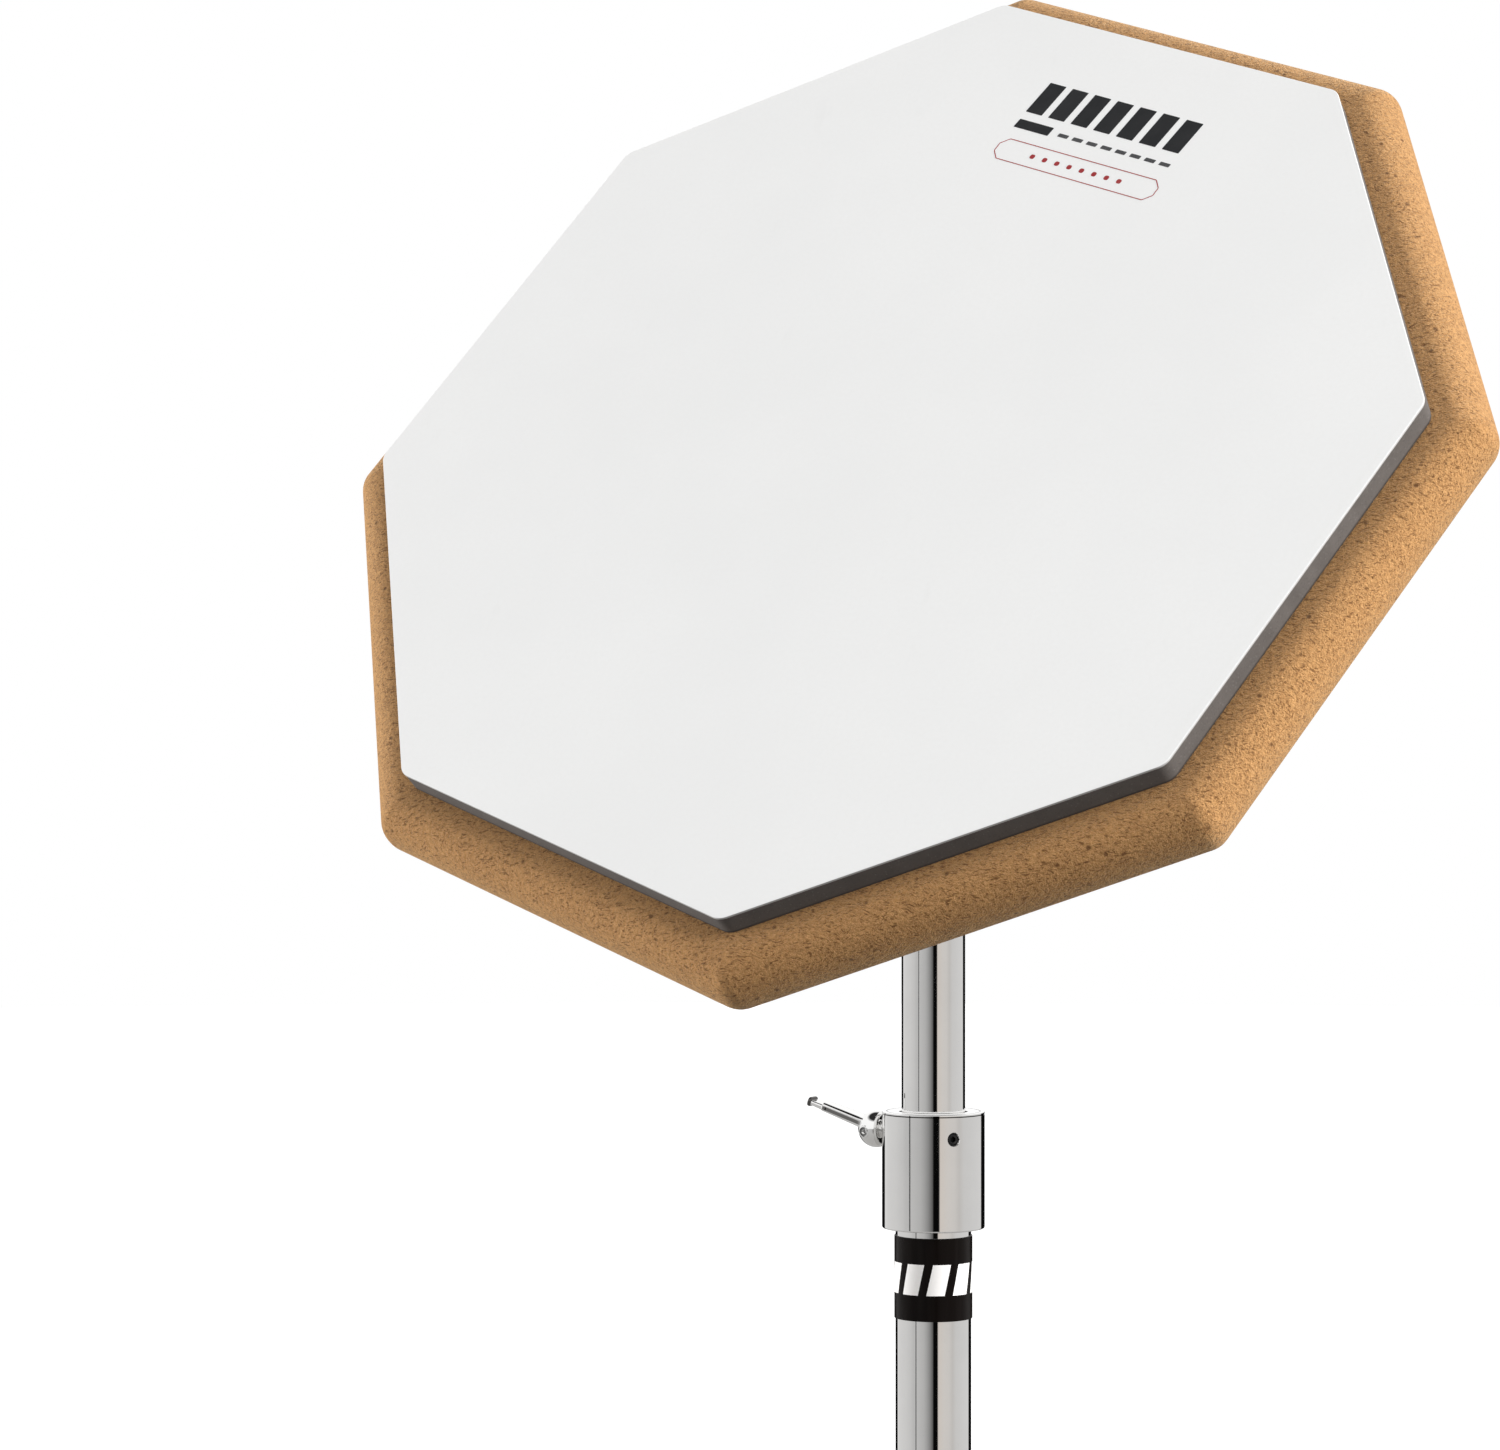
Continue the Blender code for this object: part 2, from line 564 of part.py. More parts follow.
def leg_hub(frame):
    """The sliding hub that the legs hang from. The frame's origin is at the height of the leg pins."""
    low = -8 * MM
    high = 17 * MM
    ring_profile = [
        (LOWER_RADIUS + GAP, high),
        (HUB_RADIUS - 1 * MM, high),
        (HUB_RADIUS, high - 1 * MM),
        (HUB_RADIUS, low + 1 * MM),
        (HUB_RADIUS - 1 * MM, low),
        (LOWER_RADIUS + GAP, low),
    ]
    hub = turned("leg_hub", ring_profile, CAST, frame, ring=True)
    outside = TONGUE_THICK + 2 * GAP + 2 * EAR_THICK
    ear = plate_mesh("hub_ear", [slot_outline(9.5 * MM, 7 * MM, 7.05 * MM)], outside)
    inwards = ear_frame() @ Matrix.Rotation(math.pi, 4, "Z")
    ears = copies_mesh("hub_ears", ear, joined_copies(LEG_ANGLES, inwards))
    boolean(hub, cutter("hub_ears", ears, frame), "UNION")
    boss = rod_mesh("hub_boss", 5.2 * MM, 11.2 * MM, 16.5 * MM, 24, ALONG_X)
    boss_spot = ((0, 0, HUB_CLAMP_RISE), (0, 0, HUB_CLAMP_ANGLE))
    boolean(hub, cutter("hub_boss", boss, frame, *boss_spot), "UNION")
    half = TONGUE_THICK / 2 + GAP
    inner = PIN_CIRCLE - 7.4 * MM
    gap = box_mesh("hub_slot", (inner, -half, -12 * MM), (PIN_CIRCLE + 12 * MM, half, 12 * MM))
    gaps = copies_mesh("hub_slots", gap, joined_copies(LEG_ANGLES, Matrix()))
    boolean(hub, cutter("hub_slots", gaps, frame))
    drill = rod_mesh("hub_drill", PIN_RADIUS, -12 * MM, 12 * MM, 12)
    drills = copies_mesh("hub_drills", drill, joined_copies(LEG_ANGLES, ear_frame()))
    boolean(hub, cutter("hub_drills", drills, frame))
    boolean(hub, side_hole("hub_clamp_hole", 2.8 * MM, HUB_CLAMP_ANGLE, HUB_CLAMP_RISE, frame))
    bore = rod_mesh("hub_bore", LOWER_RADIUS + GAP, -20 * MM, 30 * MM, 32)
    boolean(hub, cutter("hub_bore", bore, frame))


def base_hub(frame):
    """The fixed hub at the tube's foot, with one ear beside each brace."""
    ring_profile = [
        (LOWER_RADIUS + GAP, BASE_HALF),
        (BASE_RADIUS - 1 * MM, BASE_HALF),
        (BASE_RADIUS, BASE_HALF - 1 * MM),
        (BASE_RADIUS, -BASE_HALF + 1 * MM),
        (BASE_RADIUS - 1 * MM, -BASE_HALF),
        (LOWER_RADIUS + GAP, -BASE_HALF),
    ]
    hub = turned("base_hub", ring_profile, CAST, frame, ring=True)
    side = BRACE_SIDE + BRACE_THICK + GAP + EAR_THICK / 2
    ear = plate_mesh("base_ear", [slot_outline(13 * MM, 6.5 * MM, 6.55 * MM)], EAR_THICK)
    inwards = ear_frame(side) @ Matrix.Rotation(math.pi, 4, "Z")
    ears = copies_mesh("base_ears", ear, joined_copies(LEG_ANGLES, inwards))
    boolean(hub, cutter("base_ears", ears, frame), "UNION")
    drill = rod_mesh("base_drill", PIN_RADIUS, -3 * MM, 3 * MM, 12)
    drills = copies_mesh("base_drills", drill, joined_copies(LEG_ANGLES, ear_frame(side)))
    boolean(hub, cutter("base_drills", drills, frame))
    bore = rod_mesh("base_bore", LOWER_RADIUS + GAP, -20 * MM, 20 * MM, 32)
    boolean(hub, cutter("base_bore", bore, frame))


def rivet(name, frame, low, high, head_low=0.0, head_high=0.0):
    """A rivet along the frame's Y, from low to high, with a domed head past each end that has one."""
    shank = PIN_RADIUS - GAP
    head = PIN_RADIUS + 1.6 * MM
    top = high + head_high
    base = low - head_low
    profile = [(0, top)]
    if head_high:
        profile += [(head * 0.6, top), (head, high + head_high / 3), (head, high)]
    profile += [(shank, high), (shank, low)]
    if head_low:
        profile += [(head, low), (head, low - head_low / 3), (head * 0.6, base)]
    profile.append((0, base))
    turned(name, profile, ZINC, frame, rotation=(-math.pi / 2, 0, 0), steps=16)


def leg(number, frame):
    """A leg from its pin, at the origin, down its frame's -Z, with a flat tongue in the hub's ears."""
    tube_end = -LEG_LENGTH + 4 * MM
    leg_profile = [
        (0, -11 * MM),
        (3.2 * MM, -11.3 * MM),
        (5.3 * MM, -13 * MM),
        (LEG_RADIUS, -17 * MM),
        (LEG_RADIUS, tube_end),
        (LEG_RADIUS - WALL, tube_end),
        (LEG_RADIUS - WALL, -30 * MM),
        (0, -30 * MM),
    ]
    made = turned(f"leg_{number}", leg_profile, CHROME, frame, steps=24)
    tongue = plate_mesh("tongue", [slot_outline(16 * MM, 6.2 * MM, 6 * MM)], TONGUE_THICK)
    tongue.transform(Matrix.Rotation(math.pi / 2, 4, "Y") @ ACROSS_Y)
    boolean(made, cutter(f"tongue_{number}", tongue, frame), "UNION")
    drill = rod_mesh("leg_drill", PIN_RADIUS, -12 * MM, 12 * MM, 12, ACROSS_Y)
    boolean(made, cutter(f"leg_drill_{number}", drill, frame))


def foot(number, frame, floor):
    """The rubber foot on a leg's end: a cuff round the tube, a round tip, and a flat to stand on."""
    seat = -LEG_LENGTH + 4 * MM - GAP
    cuff = -LEG_LENGTH + 24 * MM
    bore = LEG_RADIUS + GAP
    profile = [(0, seat), (bore, seat), (bore, cuff), (8 * MM, cuff), (8.6 * MM, cuff - 2 * MM)]
    profile += arc(0, -LEG_LENGTH, FOOT_RADIUS, 0, -math.pi / 2, 6)[:-1]
    profile.append((0, -LEG_LENGTH - FOOT_RADIUS))
    made = turned(f"foot_{number}", profile, BLACK_RUBBER, frame, steps=24)
    boolean(made, floor)


def brace(number, frame):
    """A flat brace beside its leg, from its pin at the origin up the frame's Z, with its rivet."""
    hole = arc(0, 0, PIN_RADIUS, 0, 2 * math.pi, 12)[:-1]
    far_hole = [(x + BRACE_LENGTH, y) for x, y in hole]
    half = BRACE_WIDTH / 2
    outline = slot_outline(BRACE_LENGTH, half, half - 0.05 * MM)
    bar = plate_mesh(f"brace_{number}", [outline, hole, far_hole], BRACE_THICK)
    middle = Matrix.Translation((0, BRACE_SIDE + BRACE_THICK / 2, 0))
    bar.transform(middle @ Matrix.Rotation(-math.pi / 2, 4, "Y") @ ACROSS_Y)
    part(f"brace_{number}", bar, CHROME, frame)
    end = empty(f"brace_end_{number}", frame, (0, 0, BRACE_LENGTH))
    outside = BRACE_SIDE + BRACE_THICK + GAP
    rivet(f"link_rivet_{number}", end, LEG_RADIUS + GAP, outside, head_high=1.6 * MM)


def tripod(stand):
    """The sliding hub, the fixed hub, and the three legs and braces that fold between them."""
    hub_frame = empty("hub_frame", stand, (0, 0, HUB_Z))
    leg_hub(hub_frame)
    seat = 18.7 * MM
    reach = (
        seat * math.cos(HUB_CLAMP_ANGLE),
        seat * math.sin(HUB_CLAMP_ANGLE),
        HUB_CLAMP_RISE,
    )
    clamp = empty("hub_clamp_axis", hub_frame, reach, (math.pi / 2, 0, math.pi / 2 + HUB_CLAMP_ANGLE))
    clamp_screw("hub_thumb_screw", clamp, seat - LOWER_RADIUS - 0.5 * MM)
    base_frame = empty("base_frame", stand, (0, 0, BASE_Z))
    base_hub(base_frame)
    slab = box_mesh("floor_cut", (-0.5, -0.5, -0.05), (0.5, 0.5, 0))
    floor = cutter("floor_cut", slab, stand)
    outside = TONGUE_THICK / 2 + GAP + EAR_THICK + GAP
    ear_face = BRACE_SIDE + BRACE_THICK + GAP + EAR_THICK + GAP
    for number, angle in enumerate(LEG_ANGLES, 1):
        hub_side = empty(f"hub_side_{number}", hub_frame, rotation=(0, 0, angle))
        leg_pin = empty(f"leg_axis_{number}", hub_side, (PIN_CIRCLE, 0, 0), (0, -LEG_SPREAD, 0))
        leg(number, leg_pin)
        foot(number, leg_pin, floor)
        rivet(f"leg_pin_{number}", leg_pin, -outside, outside, 1.4 * MM, 1.4 * MM)
        base_side = empty(f"base_side_{number}", base_frame, rotation=(0, 0, angle))
        brace_pin = empty(f"brace_axis_{number}", base_side, (PIN_CIRCLE, 0, 0), (0, LEG_SPREAD, 0))
        brace(number, brace_pin)
        rivet(f"brace_pin_{number}", brace_pin, LEG_RADIUS + GAP, ear_face, head_high=1.4 * MM)


clear_scene()
PARTS = new_collection("practice_pad")
CUTTERS = new_collection("cutters", hidden=True)

FILM = material("white_film", (0.86, 0.86, 0.86), 0.55)
RUBBER = material("grey_rubber", (0.075, 0.07, 0.065), 0.8)
MDF = material("fibreboard", (0.45, 0.25, 0.1), 0.75)
CHROME = material("chrome", (0.78, 0.77, 0.76), 0.06, 1.0)
CAST = material("plated_casting", (0.7, 0.69, 0.68), 0.2, 1.0)
ZINC = material("zinc_steel", (0.55, 0.55, 0.56), 0.35, 1.0)
NYLON = material("black_nylon", (0.02, 0.02, 0.02), 0.5)
BLACK = material("black_label", (0.015, 0.012, 0.01), 0.35)
BLACK_RUBBER = material("black_rubber", (0.02, 0.02, 0.02), 0.75)

STAND = empty("stand", None, (0, STAND_Y, 0))
TILT_AXIS = empty("tilt_axis", STAND, (0, 0, PIVOT_Z), (REST_TILT, 0, 0))
PAD_AXIS = empty("pad_axis", TILT_AXIS, rotation=(0, 0, REST_SPIN))
POST_TOP = empty("post_top", STAND, (0, 0, PIVOT_Z))
CLAMP_SEAT = 17 * MM
CLAMP_AXIS = empty(
    "height_clamp_axis",
    STAND,
    (CLAMP_SEAT * math.cos(CLAMP_ANGLE), CLAMP_SEAT * math.sin(CLAMP_ANGLE), COLLAR_TOP - CLAMP_DROP),
    (math.pi / 2, 0, math.pi / 2 + CLAMP_ANGLE),
)

pad(PAD_AXIS)
tilt_head(TILT_AXIS)
upper_post(POST_TOP, yoke(POST_TOP))
tilt_nut(POST_TOP)
collar(STAND)
clamp_screw("height_thumb_screw", CLAMP_AXIS, CLAMP_SEAT - UPPER_RADIUS - 0.5 * MM)
tripod(STAND)
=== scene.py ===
"""The looks of the octagonal practice pad on its folding stand.

Every piece is built in the frame of the CAD node that it stands for, and rides on that node's body.
Each sub-assembly has a local frame, whose Z is its own axis: the post's, the pad's stud, a screw's or
a leg's. Sizes are in metres.
"""

import json
import math

import bmesh
import bpy
import numpy as np
from mathutils import Matrix, Vector


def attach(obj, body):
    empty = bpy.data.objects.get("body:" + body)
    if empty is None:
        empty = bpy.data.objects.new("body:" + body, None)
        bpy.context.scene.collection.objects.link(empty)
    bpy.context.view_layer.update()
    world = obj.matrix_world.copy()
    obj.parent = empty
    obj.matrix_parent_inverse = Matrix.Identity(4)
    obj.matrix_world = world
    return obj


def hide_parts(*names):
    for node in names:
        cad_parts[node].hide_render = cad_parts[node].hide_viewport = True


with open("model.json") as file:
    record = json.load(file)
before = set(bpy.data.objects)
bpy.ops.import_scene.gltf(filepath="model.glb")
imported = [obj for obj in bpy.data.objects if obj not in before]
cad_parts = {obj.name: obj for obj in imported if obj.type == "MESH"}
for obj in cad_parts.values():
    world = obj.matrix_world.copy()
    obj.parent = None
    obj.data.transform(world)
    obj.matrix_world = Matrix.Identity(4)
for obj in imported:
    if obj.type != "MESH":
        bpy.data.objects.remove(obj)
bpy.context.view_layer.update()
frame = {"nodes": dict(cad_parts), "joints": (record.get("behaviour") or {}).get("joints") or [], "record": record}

MM = 0.001
RECORD = frame["record"]
JOINTS = {joint["name"]: joint for joint in frame["joints"]}
BODY_OF = {node: body for body, nodes in RECORD["behaviour"]["bodies"].items() for node in nodes}
BONDED = 0.02 * MM


# ---------------------------------------------------------------- frames


def look_along(origin, z, x):
    """A frame at origin with its Z along z and its X as near x as it can be."""
    z = Vector(z).normalized()
    y = z.cross(Vector(x)).normalized()
    place = Matrix((y.cross(z), y, z)).transposed().to_4x4()
    place.translation = origin
    return place


def turned_by(degrees, axis):
    return Matrix.Rotation(math.radians(degrees), 4, axis)


def at(x, y, z):
    return Matrix.Translation((x, y, z))


def extent(node, place):
    """A CAD node's lowest and highest corner in the given frame."""
    inverse = np.array(place.inverted())
    points = np.array([v.co for v in frame["nodes"][node].data.vertices])
    points = points @ inverse[:3, :3].T + inverse[:3, 3]
    return points.min(0), points.max(0)


PIVOT = Vector(JOINTS["pad_tilt"]["pos_m"])
TOP = Matrix.Translation(PIVOT)
POST = at(PIVOT.x, PIVOT.y, 0)
TILT = look_along(PIVOT, JOINTS["pad_spin"]["axis"], (1, 0, 0))
PAD_TURN = 1.05
PAD = TILT @ turned_by(PAD_TURN, "Z")
UP_X = turned_by(90, "Y")
UP_Y = turned_by(-90, "X")
# A thumb screw's lever leans back from its screw by this many degrees.
LEVER_LEAN = 17


# ---------------------------------------------------------------- outlines


def arc(cx, cy, radius, start, stop, steps):
    angles = [math.radians(start + (stop - start) * i / steps) for i in range(steps + 1)]
    return [(cx + radius * math.cos(a), cy + radius * math.sin(a)) for a in angles]


def filleted(corners, steps=5):
    """A closed outline of (x, y, radius) corners as (x, y) points, with each corner rounded."""
    made = []
    for i, (x, y, radius) in enumerate(corners):
        corner = Vector((x, y))
        if not radius:
            made.append((x, y))
            continue
        before = Vector(corners[i - 1][:2]) - corner
        after = Vector(corners[(i + 1) % len(corners)][:2]) - corner
        u, v = before.normalized(), after.normalized()
        half = math.acos(max(-1.0, min(1.0, u.dot(v)))) / 2
        reach = min(radius / math.tan(half), 0.48 * before.length, 0.48 * after.length)
        centre = corner + (u + v).normalized() * (reach / math.cos(half))
        start, stop = corner + u * reach - centre, corner + v * reach - centre
        sweep = math.pi - 2 * half
        for k in range(steps + 1):
            t = k / steps
            a = math.sin((1 - t) * sweep) / math.sin(sweep)
            b = math.sin(t * sweep) / math.sin(sweep)
            made.append(tuple(centre + start * a + stop * b))
    return made


def octagon(width, corner, steps=8):
    """An octagon across flats, with its corners on the axes and rounded to a radius."""
    spots = arc(0, 0, width / 2 / math.cos(math.pi / 8), 0, 315, 7)
    return filleted([(x, y, corner) for x, y in spots], steps)


def hexagon(across):
    return arc(0, 0, across / math.sqrt(3), 0, 300, 5)


def slot(length, radius_a, radius_b, steps=24):
    """An outline with a round end about the origin and another about (length, 0)."""
    top = 90 - math.degrees(math.asin((radius_a - radius_b) / length))
    return arc(length, 0, radius_b, -top, top, steps) + arc(0, 0, radius_a, top, 360 - top, steps)


def inset(outline, depth):
    """The outline moved inwards by depth, point by point."""
    points = np.array(outline)
    after = np.roll(points, -1, 0) - points
    after /= np.linalg.norm(after, axis=1)[:, None]
    before = np.roll(after, 1, 0)
    inward_a = np.stack([-after[:, 1], after[:, 0]], 1)
    inward_b = np.stack([-before[:, 1], before[:, 0]], 1)
    share = 1 + (inward_a * inward_b).sum(1)
    return points + depth * (inward_a + inward_b) / share[:, None]


# ---------------------------------------------------------------- meshes


def closed_mesh(name, verts, faces):
    mesh = bpy.data.meshes.new(name)
    mesh.from_pydata(verts, [], faces)
    mesh.update()
    return mesh


def lathe(name, profile, steps=96, ripple=None):
    """A body turned about Z from a closed outline of (radius, z).

    ripple(radius, z, angle) gives a point's own radius, which cuts a thread or flutes.
    """
    points = [tuple(p[:2]) for p in profile]
    area = sum(a[0] * b[1] - b[0] * a[1] for a, b in zip(points, points[1:] + points[:1]))
    if area < 0:
        points.reverse()
    verts, rings = [], []
    for r, z in points:
        if r < 1e-7:
            rings.append([len(verts)] * steps)
            verts.append((0, 0, z))
            continue
        rings.append(list(range(len(verts), len(verts) + steps)))
        for k in range(steps):
            angle = 2 * math.pi * k / steps
            own = ripple(r, z, angle) if ripple else r
            verts.append((own * math.cos(angle), own * math.sin(angle), z))
    faces = []
    for low, high in zip(rings, rings[1:] + rings[:1]):
        for k in range(steps):
            n = (k + 1) % steps
            face = list(dict.fromkeys([low[k], low[n], high[n], high[k]]))
            if len(face) > 2:
                faces.append(face)
    return closed_mesh(name, verts, faces)


def thread(radius, low, high, pitch, depth):
    """A ripple that cuts a V thread into the outside of a rod between two heights."""

    def ripple(r, z, angle):
        if abs(r - radius) > 1e-6 or not low <= z <= high:
            return r
        fade = min(1.0, (z - low) / pitch, (high - z) / pitch)
        phase = (z / pitch - angle / (2 * math.pi)) % 1
        return r - depth * fade * (1 - abs(2 * phase - 1))

    return ripple


def thread_points(radius, low, high, pitch):
    """Profile points close enough together to carry a thread, from low to high."""
    count = max(2, math.ceil((high - low) / pitch * 8))
    return [(radius, low + (high - low) * i / count) for i in range(count + 1)]


def slab(name, outline, low, high, top_edge, base_edge=None, steps=4):
    """A plate over a convex outline, with its upper and lower edges rounded to a radius.

    The outline is a list of points, or a function that gives them for a depth inside the rim.
    """
    base_edge = top_edge if base_edge is None else base_edge
    outline_at = outline if callable(outline) else (lambda depth: inset(outline, depth))
    levels = []
    for k in range(steps + 1):
        a = math.pi / 2 * k / steps
        levels.append((base_edge * (1 - math.sin(a)), low + base_edge * (1 - math.cos(a))))
    for k in range(steps + 1):
        a = math.pi / 2 * k / steps
        levels.append((top_edge * (1 - math.cos(a)), high - top_edge * (1 - math.sin(a))))
    verts = []
    for depth, z in levels:
        verts += [(x, y, z) for x, y in outline_at(depth)]
    count = len(verts) // len(levels)
    faces = []
    for level in range(len(levels) - 1):
        for k in range(count):
            a, b = level * count + k, level * count + (k + 1) % count
            faces.append((a, b, b + count, a + count))
    faces.append(tuple(reversed(range(count))))
    faces.append(tuple(range(len(verts) - count, len(verts))))
    return closed_mesh(name, verts, faces)


def transformed(mesh, matrix):
    made = mesh.copy()
    made.transform(matrix)
    return made


def merged(name, meshes):
    """Several separate meshes as one, with nothing joined."""
    bm = bmesh.new()
    for mesh in meshes:
        bm.from_mesh(mesh)
    made = bpy.data.meshes.new(name)
    bm.to_mesh(made)
    bm.free()
    return made


def evaluated(obj):
    """The object's mesh with its modifiers applied; the object is removed."""
    bpy.context.view_layer.update()
    made = bpy.data.meshes.new_from_object(obj.evaluated_get(bpy.context.evaluated_depsgraph_get()))
    bpy.data.objects.remove(obj)
    return made


def held(mesh):
    obj = bpy.data.objects.new("work", mesh)
    bpy.context.scene.collection.objects.link(obj)
    return obj


def combine(mesh, others, operation="DIFFERENCE"):
    """The mesh with each of the others cut away from it, or united with it."""
    for other in others:
        target, tool = held(mesh), held(other)
        modifier = target.modifiers.new("cut", "BOOLEAN")
        modifier.operation = operation
        modifier.solver = "EXACT"
        modifier.object = tool
        mesh = evaluated(target)
        bpy.data.objects.remove(tool)
    return mesh


def cast(mesh, voxel, rounds):
    """The mesh as a casting: overlapping bodies melted into one, with soft edges and fillets."""
    obj = held(mesh)
    remesh = obj.modifiers.new("remesh", "REMESH")
    remesh.mode = "VOXEL"
    remesh.voxel_size = voxel
    smooth = obj.modifiers.new("smooth", "SMOOTH")
    smooth.factor = 0.5
    smooth.iterations = rounds
    return evaluated(obj)


def rod(name, radius, low, high, place=None, steps=48):
    """A plain rod, used only to cut a bore or to be melted into a casting."""
    mesh = lathe(name, [(0, low), (radius, low), (radius, high), (0, high)], steps)
    if place is not None:
        mesh.transform(place)
    return mesh


def box(name, low, high, place=None):
    """A plain box, used only to cut a slot or to be melted into a casting."""
    corners = [(low[0], low[1]), (high[0], low[1]), (high[0], high[1]), (low[0], high[1])]
    mesh = slab(name, corners, low[2], high[2], 0.02 * MM, steps=1)
    if place is not None:
        mesh.transform(place)
    return mesh


# ---------------------------------------------------------------- materials


class Paint:
    """A material's node tree, with short ways to add and link its nodes."""

    def __init__(self, name):
        self.material = bpy.data.materials.new(name)
        self.material.use_nodes = True
        self.tree = self.material.node_tree
        self.shader = self.tree.nodes["Principled BSDF"]
        self.coords = self.add("ShaderNodeAttribute", attribute_name="own").outputs["Vector"]

    def add(self, kind, **settings):
        node = self.tree.nodes.new(kind)
        for key, value in settings.items():
            setattr(node, key, value)
        return node

    def put(self, socket, value):
        if isinstance(value, bpy.types.NodeSocket):
            self.tree.links.new(value, socket)
        else:
            socket.default_value = value

    def set(self, **values):
        """Values for the shader's sockets, with _ for a space in a name."""
        for key, value in values.items():
            self.put(self.shader.inputs[key.replace("_", " ")], value)

    def scaled(self, scale, rotation=(0, 0, 0), location=(0, 0, 0)):
        mapping = self.add("ShaderNodeMapping")
        self.put(mapping.inputs["Vector"], self.coords)
        mapping.inputs["Scale"].default_value = scale
        mapping.inputs["Rotation"].default_value = rotation
        mapping.inputs["Location"].default_value = location
        return mapping.outputs["Vector"]

    def noise(self, scale, detail=3.0, rough=0.5, vector=None):
        node = self.add("ShaderNodeTexNoise")
        self.put(node.inputs["Vector"], self.coords if vector is None else vector)
        node.inputs["Scale"].default_value = scale
        node.inputs["Detail"].default_value = detail
        node.inputs["Roughness"].default_value = rough
        return node.outputs["Fac"]

    def cells(self, scale, vector=None):
        node = self.add("ShaderNodeTexVoronoi")
        self.put(node.inputs["Vector"], self.coords if vector is None else vector)
        node.inputs["Scale"].default_value = scale
        return node

    def ramp(self, value, low, high, start=0.0, stop=1.0):
        """value from low..high mapped on to start..stop, and clamped."""
        node = self.add("ShaderNodeMapRange")
        for socket, number in zip(node.inputs[:5], (value, low, high, start, stop)):
            self.put(socket, number)
        return node.outputs["Result"]

    def math(self, operation, a, b=0.0):
        node = self.add("ShaderNodeMath", operation=operation)
        self.put(node.inputs[0], a)
        self.put(node.inputs[1], b)
        return node.outputs["Value"]

    def mix(self, factor, a, b):
        node = self.add("ShaderNodeMix", data_type="RGBA")
        self.put(node.inputs["Factor"], factor)
        self.put(node.inputs["A"], a)
        self.put(node.inputs["B"], b)
        return node.outputs["Result"]

    def bump(self, height, distance, strength=1.0):
        node = self.add("ShaderNodeBump")
        node.inputs["Strength"].default_value = strength
        node.inputs["Distance"].default_value = distance
        self.put(node.inputs["Height"], height)
        return node.outputs["Normal"]

    def axis(self, name):
        """X, Y or Z of the surface point, in the piece's own frame."""
        node = self.add("ShaderNodeSeparateXYZ")
        self.put(node.inputs["Vector"], self.coords)
        return node.outputs[name]


def rgb(r, g, b):
    return (r, g, b, 1.0)


def film_material():
    """White coating on a thin film: a fine tooth, faint mottling and soft marks from use."""
    p = Paint("white_film")
    cloud = p.ramp(p.noise(14, 3, 0.6), 0.35, 0.65)
    grain = p.ramp(p.noise(900, 4, 0.6), 0.3, 0.7)
    colour = p.mix(cloud, rgb(0.912, 0.916, 0.916), rgb(0.936, 0.939, 0.938))
    colour = p.mix(p.math("MULTIPLY", grain, 0.35), colour, rgb(0.885, 0.886, 0.882))
    scuffs = p.noise(60, 5, 0.65, p.scaled((1, 0.35, 1), (0, 0, 0.6)))
    colour = p.mix(p.ramp(scuffs, 0.66, 0.8, 0, 0.35), colour, rgb(0.83, 0.83, 0.825))
    # Painted shade: below its top the film's side wall is greyed, so its lit cut edge doesn't show as a white
    # line.
    top = extent("striking_film", PAD)[1][2]
    cut = p.ramp(p.axis("Z"), top - 0.12 * MM, top - 0.02 * MM, 1, 0)
    colour = p.mix(cut, colour, rgb(0.42, 0.42, 0.42))
    p.set(Base_Color=colour, Roughness=p.ramp(grain, 0, 1, 0.5, 0.62), Specular_IOR_Level=0.3)
    tooth = p.math("ADD", p.noise(1500, 3, 0.6), p.math("MULTIPLY", p.noise(420, 2, 0.5), 0.6))
    p.set(Normal=p.bump(tooth, 0.02 * MM, 0.5))
    return p.material


def rubber_material():
    """Dark grey sheet rubber with a knife-cut edge: fine pores, specks and faint drag lines."""
    p = Paint("grey_rubber")
    cloud = p.ramp(p.noise(120, 4, 0.6), 0.3, 0.7)
    colour = p.mix(cloud, rgb(0.087, 0.078, 0.073), rgb(0.115, 0.104, 0.098))
    specks = p.cells(1400).outputs["Distance"]
    colour = p.mix(p.ramp(specks, 0.1, 0.3, 0.5, 0), colour, rgb(0.045, 0.043, 0.04))
    light = p.cells(900, p.scaled((1, 1, 1), location=(0.3, 0.1, 0))).outputs["Distance"]
    colour = p.mix(p.ramp(light, 0.08, 0.2, 0.5, 0), colour, rgb(0.205, 0.193, 0.185))
    # Painted shade: the rubber is darker and browner towards its base, where it meets the board.
    base = extent("rubber_pad", PAD)[0][2]
    painted_base_shade = p.ramp(p.axis("Z"), base + 0.15 * MM, base + 0.8 * MM, 0.75, 0)
    colour = p.mix(painted_base_shade, colour, rgb(0.03, 0.024, 0.018))
    p.set(Base_Color=colour, Roughness=p.ramp(cloud, 0, 1, 0.68, 0.82), Specular_IOR_Level=0.25)
    drag = p.noise(300, 3, 0.5, p.scaled((1, 1, 9)))
    pores = p.math("ADD", p.noise(1800, 3, 0.6), p.math("MULTIPLY", drag, 0.7))
    p.set(Normal=p.bump(pores, 0.05 * MM, 0.7))
    return p.material


